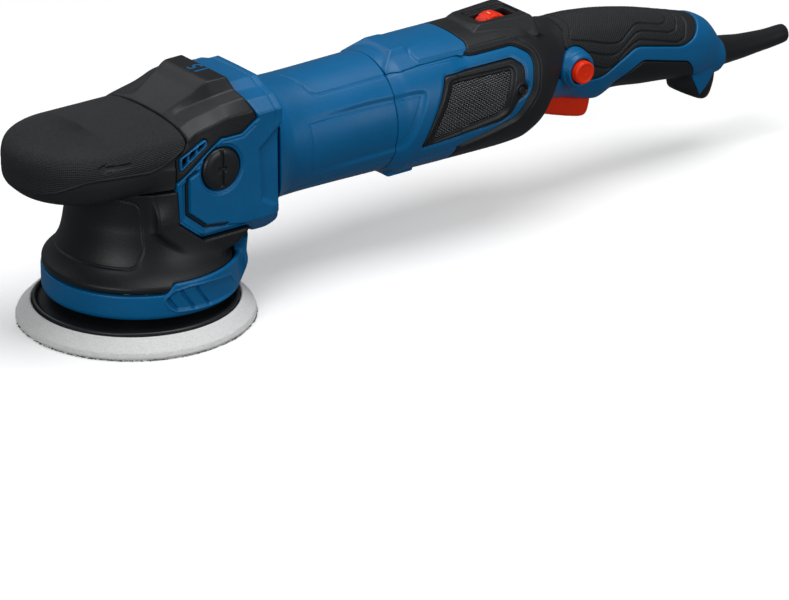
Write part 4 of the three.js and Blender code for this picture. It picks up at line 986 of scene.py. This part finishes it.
SIDE_PANEL = [
    (120, 50), (120, 101.8), (142, 101.9), (163, 103.2), (187, 103.4), (195.7, 101), (223.4, 101), (231.6, 96),
    (232.6, 91.6), (229.4, 77), (219, 65), (200, 59.6), (180, 55.4), (163, 52.4), (142, 50),
]
VENT_FRAME = [
    (174.4, 96.1), (219.6, 96), (225.4, 91.4), (224.4, 83.1), (226.8, 80.7), (225, 76.8), (219.3, 74.4),
    (214.3, 67.4), (207.6, 64.6), (157, 61.3), (162.5, 73.4),
]
MESH_AREA = [(178, 92), (216.4, 91.2), (210.2, 71.8), (206, 70), (163, 64.6), (168, 74)]
SCREW_X, SCREW_Z = 221.4, 79.4
PANEL_SINK = 1.5                    # the side panel lies below the overmould that frames it


def barrel_relief(x, angle):
    """Depth of the lines and the label field pressed into the barrel's skin."""
    arc = angle * DEGREE
    seam = [(a, b * DEGREE) for a, b in TOP_SEAM]
    away = polyline(x, arc, fillet_line(seam, 3))
    lower = [(a + 1.1, b) if b < 26 * DEGREE else (a, b + 1.3) for a, b in seam]
    below = polyline(x, arc, fillet_line(lower, 3))
    relief = 0.55 * band(away, 0.12, 0.4) * (x < 142) + 0.22 * band(below, 0.05, 0.35)
    field = -outline(x, arc, fillet([(a, b * DEGREE) for a, b in LABEL], 5))
    fade = ramp((x - 80) / 40)
    return (relief + 1.15 * ramp(field / 3.2) * fade
            + 0.45 * band(field - 4.4, 0.05, 0.4) * (1 - 0.4 * fade))


def fillet_line(points, radius):
    """An open line with its corners eased."""
    eased = fillet(points, radius)
    per = len(eased) // len(points)
    return [points[0]] + eased[per:-per] + [points[-1]]


def motor_housing_front():
    g = Grid((62, -39.2, 40), (142.6, 39.2, 113.2))
    d, angle = hull(g, FRONT_BARREL)
    d = d + barrel_relief(g.x, angle)
    crease = polyline(g.x, angle * DEGREE, [(66, 137 * DEGREE), (119, 127 * DEGREE), (150, 124 * DEGREE)])
    d = d + 0.6 * band(crease, 0.15, 0.9)
    d = smax(d, both(62.7 - g.x, g.x - 142), 0.3)
    d = cut(d, g.motor_radius - 28.8, 0.3)
    shell("motor_barrel", g, d, blue, "motor_housing_front")


def slanted(v, x0, z0, x1, z1):
    """Distance to the plane through two points of a section, positive on its left."""
    length = math.hypot(x1 - x0, z1 - z0)
    return (v[0] - x0) * (z0 - z1) / length + (v[1] - z0) * (x1 - x0) / length


def rear_form(g):
    """The rear motor housing with its top hump and shelf, and the angle round it."""
    d, angle = hull(g, REAR_BODY)
    y = g.side
    d = d + barrel_relief(g.x, angle) * (g.x < 190)
    tail = both(g.x - 160, 0)
    side = slanted((y + 0.26 * tail, g.z), 11.4, 111.3, 20.4, 102.6)
    front = ((151.6 - g.x) * 5.8 + (g.z - 111.2) * 7.4) / math.hypot(5.8, 7.4)
    hump = smax(smax(g.z - (111.3 - 0.17 * tail), side, 0.5), front, 0.5)
    hump = both(hump, 101 - g.z)
    shelf = outline(g.x, angle * DEGREE, [(163, -5), (160.6, 16.4), (162.4, 20.4), (250, 22), (250, -5)])
    d = d - 0.9 * ramp(-shelf / 2.0)
    return smin(d, hump, 0.9), angle


def blue_front(x, z):
    """Positive on the overmould's side of the seam across the rear housing."""
    return x - np.interp(z, [40, 56, 60, 70, 100, 102.5, 104.5, 107.5, 109, 112],
                         [182, 182, 184, 188, 188, 190, 194, 195.6, 194.7, 193])


def panel_field(g):
    return g.elevation(SIDE_PANEL, 3.0, 5)


def motor_housing_rear():
    g = Grid((141.9, -36.4, 40.2), (197.2, 36.4, 112))
    d, angle = rear_form(g)
    feet = both(abs(g.x - 155.4) - 8, g.side - 15, 41.4 - g.z)
    d = smin(d, both(feet, g.z - 50), 1.0)
    d = smax(d, blue_front(g.x, g.z) + GAP / 2, 0.6)
    d = smax(d, 142.2 - g.x, 0.3)
    flank = both(panel_field(g) - 0.15, 12 - g.side)
    liner, angle = hull(g, REAR_BODY)
    liner = liner + barrel_relief(g.x, angle)
    flank = both(flank, np.where(g.x < 152, -(liner + 1.7), -9.0))
    d = cut(d, flank, 0.3)
    inner, _ = hull(g, [(x - 12 * (i == 0), w, t, b, n) for i, (x, w, t, b, n) in enumerate(REAR_BODY)],
                    inset=WALL + 1.2)
    d = cut(d, inner, 0.3)
    shell("motor_rear_shell", g, d, blue, "motor_housing_rear")


DECK_Z = 112.5
HANDLE_SEAM = [                     # z, x
    (20, 241), (55, 241), (66, 245.8), (75, 251.6), (84, 258), (91, 262), (98, 266), (110, 268),
]


def behind_seam(g, shift=0.0):
    """Negative in front of the slanted seam between the rear housing and the handle."""
    x, = section_at(g.z, HANDLE_SEAM)
    return (g.x - x - shift) * 0.9


def rear_overmould():
    g = Grid((179.5, -36.6, 39.6), (268.4, 36.6, 113.2))
    d, angle = rear_form(g)
    y = g.side
    drop = g.z - DECK_Z
    hump = smax(drop, ((207.4 - g.x) * 2.8 + drop * 6.8) / 7.35, 0.4)
    hump = smax(hump, (((207.2 - g.x) * 0.888 + (y - 5.9) * 0.458) * 0.6 + drop) / 1.166, 0.4)
    hump = smax(hump, (((g.x - 210.4) * -0.115 + (y - 12.1) * 0.993) * 5.5 + drop * 3.1) / 6.31, 0.4)
    hump = smax(smax(hump, (g.x - 241.5) * 0.85 + drop * 0.53, 0.5), g.x - 243.4, 0.8)
    hump = both(hump, 103.4 - g.z)
    well_top = outline(g.x, y, [(212.6, -9), (212.6, 7), (215, 8.8), (238, 8.8), (240.6, 6.4), (240.6, -9)])
    hump = cut(hump, both(well_top, 111 - g.z), 0.4)
    d = smin(d, hump, 0.6 + 4.4 * ramp((g.x - 236) / 6))
    panel = panel_field(g)
    beside = (g.x > 176) * ramp((y - 10) / 4)
    d = d + 1.7 * ramp(1 - panel / 3.0) * beside * ramp((g.x - 180) / 6)
    d = d + 0.35 * band(panel - 4.4, 0.1, 0.5) * beside
    d = smax(d, GAP / 2 - blue_front(g.x, g.z), 0.7)
    d = cut(d, both(panel - 0.1, 12 - y), 0.5)
    d = smax(d, behind_seam(g), 1.2)
    well = both(abs(g.x - DIAL_X) - 11.4, y - 5.4, 98 - g.z)
    wide = both(abs(g.x - DIAL_X) - 11.4, y - 7.6, 98 - g.z, g.z - 107)
    d = cut(cut(d, well, 0.7), wide, 0.3)
    d = cut(d, both(238 - g.x, y - 11, g.z - 70), 0.5)
    d = cut(d, both(g.round_y(LOCK_X, LOCK_Z) - 12.2, g.y + 10), 0.5)
    inner, _ = hull(g, REAR_BODY[:-1] + [(275, *REAR_BODY[-1][1:])], inset=WALL)
    d = cut(d, inner, 0.3)
    shell("rear_soft_shell", g, d, rubber, "rear_overmould")


def panel_skin(g):
    """The side panel's face: level with the housing in front, sunk inside the overmould."""
    d, angle = hull(g, REAR_BODY)
    sink = PANEL_SINK * ramp((g.x - 180) / 12) * ramp((g.z - 60) / 30 + 0.7)
    return d + barrel_relief(g.x, angle) + sink


def side_panel(side):
    g = Grid((141.9, -36.6, 48), (233.6, -12, 104.4))
    d = panel_skin(g)
    edge = panel_field(g)
    d = smax(d, edge, 0.45)
    d = smax(d, 142.2 - g.x, 0.3)
    vent = g.elevation(VENT_FRAME, 1.6)
    d = d + 0.5 * ramp((2.2 - vent) / 1.2) * (g.x > 150)
    d = cut(d, vent - GAP, 0.5)
    inner, _ = hull(g, REAR_BODY, inset=WALL + 1.2)
    d = cut(cut(d, inner, 0.3), both(panel_skin(g) + 1.4, g.x - 152.3), 0.3)
    shell("side_panel_skin", g, d, blue, "side_panel", side=side)


def vent_frame(side):
    g = Grid((155.6, -37.2, 60), (228.2, -20, 97.4), 0.42)
    base, _ = hull(g, REAR_BODY)
    frame_line = g.elevation(VENT_FRAME, 1.8)
    opening = g.elevation(MESH_AREA, 1.8)
    d = base + 0.35 - 0.4 * ramp((7 - opening) / 5) * (g.x < 182) + 1.0 * ramp((3.4 - opening) / 2.6)
    screw = g.round_y(SCREW_X, SCREW_Z)
    d = d + 0.9 * band(screw - 2.7, 0.25, 0.35) - 0.3 * band(screw - 3.7, 0.2, 0.4)
    d = smax(d, frame_line, 1.0)
    d = cut(d, opening, 0.8)
    inner, _ = hull(g, REAR_BODY, inset=WALL)
    d = cut(d, inner, 0.3)
    shell("vent_grille_frame", g, d, black, "vent_frame", side=side)


def surface_y(x, z, inset):
    """Near face of the rear housing: y for a point of the side view."""
    w, top, bottom, n = section_at(x, REAR_BODY)
    up = abs(z - (top + bottom) / 2) / ((top - bottom) / 2 - inset)
    return -(w - inset) * (1 - either(up, 0.999) ** n) ** (1 / n)


def longest_run(flags):
    """Keeps only the longest unbroken run of true values."""
    best, start = (0, 0), None
    for i, flag in enumerate([*flags, False]):
        if flag and start is None:
            start = i
        if not flag and start is not None:
            best = max(best, (i - start, start))
            start = None
    kept = np.zeros(len(flags), bool)
    kept[best[1]:best[1] + best[0]] = True
    return kept


def dust_filter(side):
    """The dark fleece behind the woven screen."""
    g = Grid((158, -35, 61), (220, -18, 96))
    outer, _ = hull(g, REAR_BODY, inset=2.3)
    inner, _ = hull(g, REAR_BODY, inset=3.5)
    d = smax(both(outer, -inner), g.elevation(MESH_AREA) - 1.2, 0.4)
    shell("dust_filter", g, d, fleece, side=side)


def mesh_screen(side):
    """Woven wire: two families of wires that pass over and under each other."""
    pitch, radius, sides = 1.08, 0.19, 6
    angles = circle(sides)
    centre = np.array([190.0, 79.0])
    area = grow(MESH_AREA, centre, -0.4)
    points, faces, first = [], [], 0
    lean = math.radians(6)
    along = np.array([math.cos(lean), math.sin(lean)])
    across = np.array([-along[1], along[0]])
    for family, (run, step) in enumerate(((along, across), (across, along))):
        for k in range(-34, 35):
            t = np.arange(-34, 34.01, pitch / 4)
            line = centre + run * t[:, None] + step * (k * pitch)
            inside = longest_run(outline(line[:, 0], line[:, 1], area) < 0)
            if inside.sum() < 5:
                continue
            line, t = line[inside], t[inside]
            weave = 0.2 * np.cos(math.pi * (t / pitch + k)) * (1 if family == 0 else -1)
            y = surface_y(line[:, 0], line[:, 1], 1.45) + weave
            middle = np.stack([line[:, 0], y, line[:, 1]], 1)
            u = np.array([step[0], 0, step[1]])
            v = np.array([0, 1.0, 0])
            ring = middle[:, None, :] + radius * (np.cos(angles)[None, :, None] * u
                                                 + np.sin(angles)[None, :, None] * v)
            count = len(middle)
            points.append(ring.reshape(-1, 3))
            end = np.array([[0, 1, 2, 3], [0, 3, 4, 5]])
            faces += [ring_quads(count, sides, False, first), first + end[:, ::-1],
                      first + (count - 1) * sides + end]
            first += count * sides
    points, faces = np.concatenate(points), np.concatenate(faces)
    if side == "_far":
        points = points * np.array([1, -1, 1])
        faces = faces[:, ::-1]
    thing = mesh_object("woven_screen" + side, points, faces)
    settle(thing, "housing", mesh_steel, "mesh_screen" + side)


def speed_dial():
    g = Grid((216.4, -5.4, 91.6), (237.6, 5.4, 112.8), 0.3)
    radius = g.round_y(DIAL_X, DIAL_Z)
    turn = np.arctan2(g.z - DIAL_Z, g.x - DIAL_X)
    notch = 0.45 * ramp((np.cos(turn * 20) - 0.55) / 0.3) * (g.side > 2.6)
    d = smax(radius - 10 + notch, g.side - 4.8, 1.4)
    d = cut(d, radius - 1.9, 0.3)
    shell("speed_dial_wheel", g, d, red, "speed_dial", body="speed_dial", least=50)
    for k, digit in enumerate("123456"):
        angle = math.radians(98 - 50 * k)
        spot = Vector((DIAL_X + 9.98 * math.cos(angle), 0, DIAL_Z + 9.98 * math.sin(angle)))
        place = Matrix.Translation(spot * MM) @ Matrix.Rotation(math.pi / 2 - angle, 4, "Y")
        numeral("dial_numeral_" + digit, digit, 4.4, place, "speed_dial", pale_print)


# ------------------------------------------------------------------ handle
HANDLE = [
    (243, 27.6, 102.4, 53, 2.3), (250, 25.6, 101.4, 56, 2.3), (258, 23.2, 100, 56.6, 2.3),
    (268, 21.2, 99.8, 55.4, 2.4), (280, 20.2, 99.8, 51.6, 2.4), (291, 19.8, 98.9, 49.4, 2.4),
    (302, 19.4, 97.4, 53, 2.4), (325, 19, 92.8, 50.4, 2.4), (343, 18.4, 88, 48.6, 2.4),
    (358, 17.2, 84.2, 46, 2.4), (367, 15.4, 81.4, 45, 2.3), (374, 13.2, 77.4, 45, 2.2),
    (379.4, 11.2, 71.2, 45.2, 2.1), (TAIL_X, 10, 64, 45.4, 2.1),
]
GRIP_EDGE = [
    (240, 78), (253, 78), (262, 67.4), (289.4, 66.6), (313.5, 78.6), (347, 70.8), (355.6, 73), (360, 77),
    (367.4, 84), (376, 110), (240, 110),
]
UNDER_EDGE = [(298.6, 59.3), (317.9, 70), (351.5, 61.4), (356, 56), (363.6, 40.5), (363.6, 20), (298.6, 20)]
GRIP_LINES = [                      # nested outlines on the grip: [x, degrees round from the top]
    [(272, -10), (272, 28), (268, 50), (270, 54.5), (298.5, 71.5), (302.5, 70.5), (314.6, 45), (318, 40.5),
     (333, 44.5), (338, 38), (342.4, 17), (343, -10)],
    [(266.4, -10), (265.8, 39), (261.8, 61), (264.5, 68.5), (297, 85), (301.4, 84), (314, 59), (318, 55.5),
     (338, 59.5), (343.4, 53), (348.6, 24), (349.6, -10)],
    [(260.6, -10), (258.6, 40), (255.6, 66), (256.4, 79), (260, 83.5), (284, 91.5), (294.5, 96), (298.6, 95.5),
     (312.6, 73.5), (316.8, 69.5), (343, 76), (348.6, 69.5), (353.4, 36), (355, -10)],
]
GRIP_DEGREE = 0.35
COLUMN = [                          # the heel: z, front x, rear x, half width
    (30, 361, 376, 6), (33, 357.6, 378, 8.6), (37, 355.2, 379.4, 10), (42, 354.2, 380.4, 11), (50, 354, 381, 11.6),
]
INLAY = [(351.5, 61.6), (356, 56), (363.6, 40.5), (366.4, 35.4), (370, 39.5), (374, 44.6), (379.5, 50), (380, 61.6)]
BOSS = [(-3, -27.6), (7.6, -27.6), (8.6, -27.2), (10.2, -25), (11, -21.6), (11.2, -18)]
PIVOT_X, PIVOT_Z = 252.0, 60.6


def handle_cavity(g):
    inner, _ = hull(g, [(235, *HANDLE[0][1:])] + HANDLE[1:-3] + [(TAIL_X - 8, *HANDLE[-3][1:])], inset=WALL)
    return both(inner, g.x - (TAIL_X - 8))


def tail_bore(g):
    radius = np.hypot(g.y, g.z - CORD_Z)
    return either(both(radius - 6.8, TAIL_X - 9 - g.x),
                      both(radius - 8.1, abs(g.x - (TAIL_X - 11)) - 3))


def heel_form(g):
    """The bulb under the tail end of the handle."""
    front, rear, half = section_at(g.z, COLUMN, curve)
    middle, reach = (front + rear) / 2, (rear - front) / 2
    n = 2.5
    rho = ((abs(g.x - middle) / reach) ** n + (g.side / half) ** n + 1e-9) ** (1 / n)
    column = np.hypot(g.x - middle, g.y) * (1 - 1 / rho)
    slant = (355.5 - g.x) * 0.45 + (38.6 - g.z) * 0.89
    return smax(smax(smax(column, 30.7 - g.z, 1.6), slant, 2.0), g.z - 50, 0.5)


def handle_shell(side):
    g = Grid((243, -28.4, 35), (384.4, 0.4, 104))
    d, angle = hull(g, HANDLE)
    grip = blur(g.elevation(GRIP_EDGE, 4), 1)
    under = g.elevation(UNDER_EDGE, 2.5)
    tail = np.hypot(g.y, g.z - CORD_Z)
    ring = smax(tail - 11, abs(g.x - 379) - 3.8, 2.2)
    d = smin(d, ring, 3.0)
    boss_radius = g.round_y(LOCK_X, LOCK_Z)
    if side == "_near":
        boss = lathe_field(boss_radius, g.y, spline(BOSS, 3) + [(11.2, -12), (-3, -12)])
        boss = boss + 0.5 * band(boss_radius - 9.4, 0.2, 0.5)
        d = smin(d, boss, 2.6)
    d = cut(d, both(grip, boss_radius * -1 + (11.5 if side == "_near" else 0)), 0.8)
    d = cut(d, under, 0.8)
    heel = heel_form(g)
    inlay = smax(heel, both(-heel - 2, g.elevation(INLAY), 6.3 - g.side), 0.5)
    d = smin(d, inlay, 0.8)
    d = smax(d, -behind_seam(g, GAP), 0.6)
    d = cut(d, handle_cavity(g), 0.3)
    slot = both(g.x - 291.4, g.side - 10, g.z - 67)
    d = cut(cut(d, slot, 0.8), tail_bore(g), 0.5)
    if side == "_near":
        d = cut(d, boss_radius - 7, 0.7)
    pin = both(g.round_y(PIVOT_X, PIVOT_Z) - 2, g.side - 14)
    d = either(d, pin)
    d = smax(d, g.y + GAP / 2, 0.4)
    shell("handle_half", g, d, blue, "handle_shell", side=side)


def grip_arc(x, y, z):
    """Degrees round the handle from the top, for points of its skin."""
    w, top, bottom, n = section_at(x, HANDLE)
    up = (z - (top + bottom) / 2) / ((top - bottom) / 2)
    return np.degrees(np.arctan2((abs(y) / w) ** (n / 2), np.sign(up) * abs(up) ** (n / 2)))


def grip_lines(x, arc):
    """Distances to the nested outlines on the grip."""
    return [outline(x, arc, fillet([(a, b * GRIP_DEGREE) for a, b in points], 1.6))
            for points in GRIP_LINES]


def grip_sleeve():
    g = Grid((244, -26.6, 63), (369, 26.6, 103))
    d, angle = hull(g, HANDLE)
    region = g.elevation(GRIP_EDGE, 4) + GAP
    d = d + 0.45
    for line in grip_lines(g.x, angle * GRIP_DEGREE):
        d = d - 0.18 * ramp(-line / 0.5) + 0.7 * band(line, 0.18, 0.4)
    d = smax(d, region, 1.2)
    d = smax(d, -behind_seam(g, GAP), 0.6)
    d = cut(d, handle_cavity(g), 0.3)
    d = cut(d, both(g.round_y(LOCK_X, LOCK_Z) - 11.9, g.y + 10), 0.6)
    d = cut(d, both(g.x - 258, g.y + 10, abs(g.z - 71) - 11), 0.5)

    def uv(points):
        a = grip_arc(points[:, 0], points[:, 1], points[:, 2]) * GRIP_DEGREE
        return np.stack([points[:, 0] * 0.8 + a * 0.6, points[:, 0] * -0.6 + a * 0.8], 1) + 700
    thing = moulded("handle_grip", g, d, uv)

    def textured(p):
        a = grip_arc(p[:, 0], p[:, 1], p[:, 2]) * GRIP_DEGREE
        lines = grip_lines(p[:, 0], a)
        return ramp((-lines[2] - 0.9) / 0.6) * (abs(lines[1]) > 0.8) * (abs(lines[0]) > 0.8)
    mask_uv(thing, textured)
    settle(thing, "housing", handle_rubber, "grip_sleeve")


def under_grip():
    g = Grid((297.6, -19.4, 30), (379.6, 19.4, 70.4))
    body, _ = hull(g, HANDLE)
    region = g.elevation([(x + 0.1, z - GAP - 0.1) for x, z in UNDER_EDGE], 2.5)
    skin = smax(body, region, 1.0)
    column = heel_form(g)
    cavity = handle_cavity(g)
    shell_space = both(body - GAP, -(region - 0.15))
    inlay = both(g.elevation(INLAY) - 0.2, 6 - g.side, -column - 2.2)
    column = cut(cut(column, shell_space, 0.8), inlay, 0.4)
    d = smin(cut(skin, cavity, 0.3), cut(column, cavity, 0.3), 2.4)
    d = cut(d, shell_space, 0.5)
    shell("under_grip_shell", g, d, black, "under_grip")


TRIGGER_SIDE = [(245.6, 64), (245.6, 52.8), (252, 50.6), (262, 47.2), (276, 43), (283, 41.4), (286.4, 41.8),
                (288.6, 45), (290, 52), (289.6, 59.6), (262, 64)]


def trigger():
    g = Grid((244.8, -9.6, 39.4), (291, 9.6, 64.8), 0.4)
    y = g.side
    side = blur(outline(g.x, g.z + 0.09 * both(y - 4, 0) ** 1.5 - 0.9, fillet(TRIGGER_SIDE, 4)), 2)
    d = smax(side, y - 9, 3.0)
    d = smax(d, g.z - 64, 0.5)
    d = cut(d, g.round_y(PIVOT_X, PIVOT_Z) - 2.4, 0.3)
    shell("trigger_lever", g, d, red, "trigger", body="trigger", least=50)


def lathe_y(name, profile, x, z, sides=96):
    """A turned piece about an axis along Y; profile is closed, [radius, y]."""
    thing = lathe(name, profile, sides)
    co = coordinates(thing.data)
    thing.data.vertices.foreach_set("co", np.stack(
        [co[:, 0] + x * MM, co[:, 2], z * MM - co[:, 1]], 1).astype(np.float32).ravel())
    thing.data.update()
    return thing


def lock_button():
    profile = resampled(fillet([
        (0.02, -30.5), (4.4, -30.6), (5.4, -31), (6.4, -30.2), (6.4, -17), (4, -17), (4, -12),
        (0.02, -12)], 0.7), 1.0)
    thing = lathe_y("lock_button_cap", profile, LOCK_X, LOCK_Z)
    settle(thing, "lock_button", red, "lock_button")


SLEEVE = [(384, 9.4, 0.2), (386.5, 8.6, 0.1), (392, 8.0, -0.2), (405, 6.8, -0.9), (420, 5.8, -0.9), (432, 5.4, -0.3),
          (434.4, 5.2, -0.15), (435.2, 4.6, -0.1)]


def strain_relief():
    """Tapered sleeve with an open bore, and the flange that the handle halves clamp."""
    xs = np.array([371.9, 375, 375.15, 383.7, 384.0] + list(np.linspace(384.6, 434.6, 60)) + [435.2])
    stations, taper, lift = zip(*SLEEVE)
    outer = np.where(xs < 375.1, 7.6, np.where(xs < 383.9, 6.3, curve(xs, stations, taper)))
    rise = np.where(xs < 383.9, 0, curve(xs, stations, lift))
    sides = 72
    angles = circle(sides)
    x = np.concatenate([xs, xs[::-1]])
    radius = np.concatenate([outer, np.full(len(xs), 3.6)])
    radius[len(xs)] = 3.9
    level = np.concatenate([rise, rise[::-1]])
    ring = np.stack([np.broadcast_to(x[:, None], (len(x), sides)), radius[:, None] * np.cos(angles),
                     CORD_Z + level[:, None] + radius[:, None] * np.sin(angles)], 2)
    thing = mesh_object("cord_sleeve", ring.reshape(-1, 3), ring_quads(len(x), sides))
    settle(thing, "housing", sleeve_rubber, "strain_relief")


# ------------------------------------------------------------------ internal parts keep their CAD shape
FINISHES = {
    cast: "gearbox_housing bearing_flange",
    steel: """spindle_bearing_lower spindle_bearing_upper bearing_retainer ring_gear output_spindle
        eccentric_counterweight pinion pad_bearing pad_spindle pad_screw motor_bearing_front
        motor_bearing_rear armature_shaft brush_spring_near brush_spring_far""",
    laminations: "armature_core stator_core",
    copper: "winding_head_front winding_head_rear field_coil_upper field_coil_lower",
    copper_bar: "commutator",
    brass: "brush_holder_near brush_holder_far",
    carbon: "brush_near brush_far",
    nylon: "cooling_fan electronics_module switch_body",
}


def dress_internals():
    for material, names in FINISHES.items():
        for name in names.split():
            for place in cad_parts[name].material_slots:
                place.material = material


# ------------------------------------------------------------------ camera, floor and light
def camera():
    data = bpy.data.cameras.new("view")
    data.lens, data.sensor_width = 223.7, 36.0
    data.clip_start, data.clip_end = 0.1, 50
    thing = placed("view", data)
    thing.location = (-1.2836, -1.9390, 1.0154)
    thing.rotation_euler = Vector((0.5482, 0.7348, -0.3994)).to_track_quat("-Z", "Y").to_euler()
    bpy.context.scene.camera = thing


def area_light(name, location, target, size, power):
    data = bpy.data.lights.new(name, "AREA")
    data.shape, data.size, data.energy = "DISK", size, power
    thing = placed(name, data)
    thing.location = location
    thing.rotation_euler = (Vector(target) - Vector(location)).to_track_quat("-Z", "Y").to_euler()


def stage():
    mesh = bpy.data.meshes.new("floor")
    reach = 4.0
    mesh.from_pydata([(-reach, -reach, 0), (reach, -reach, 0), (reach, reach, 0), (-reach, reach, 0)],
                     [], [(0, 1, 2, 3)])
    floor = placed("floor", mesh)
    n = Nodes("floor_paint")
    tone = n.mix(n.spread(n.noise(3, 2), 0, 1, 0.3, 0.7), (0.86, 0.86, 0.87), (0.9, 0.9, 0.9))
    paint = n.finish(tone, 0.75, Emission_Color=(1, 1, 1, 1), Emission_Strength=0.3)
    floor.data.materials.append(paint)
    floor.visible_diffuse = floor.visible_glossy = False
    world = bpy.data.worlds.new("studio")
    bpy.context.scene.world = world
    world.use_nodes = True
    background = world.node_tree.nodes["Background"]
    background.inputs["Color"].default_value = (0.94, 0.97, 1.0, 1)
    background.inputs["Strength"].default_value = 0.12
    area_light("overhead", (0.3, -0.15, 1.5), (0.15, 0, 0), 1.1, 15)
    area_light("back", (-0.05, 1.5, 1.35), (0.1, 0, 0.05), 1.3, 5)
    area_light("left", (-1.5, -0.7, 0.7), (0.0, 0, 0.05), 0.8, 11)
    area_light("front", (0.7, -1.8, 0.6), (0.2, 0, 0.08), 0.9, 10)
    bpy.context.scene.view_settings.view_transform = "Standard"


palm_grip()
head_cover()
for ending in PAIR:
    head_vent(ending)
    side_plug(ending)
for make in (head_shell, skirt, shroud_ring, foam_pad, backing_plate, hook_face, motor_housing_front,
             motor_housing_rear, rear_overmould):
    make()
for ending in PAIR:
    for make in (side_panel, vent_frame, mesh_screen, dust_filter, handle_shell):
        make(ending)
for make in (speed_dial, grip_sleeve, under_grip, trigger, lock_button, strain_relief, dress_internals,
             camera, stage):
    make()
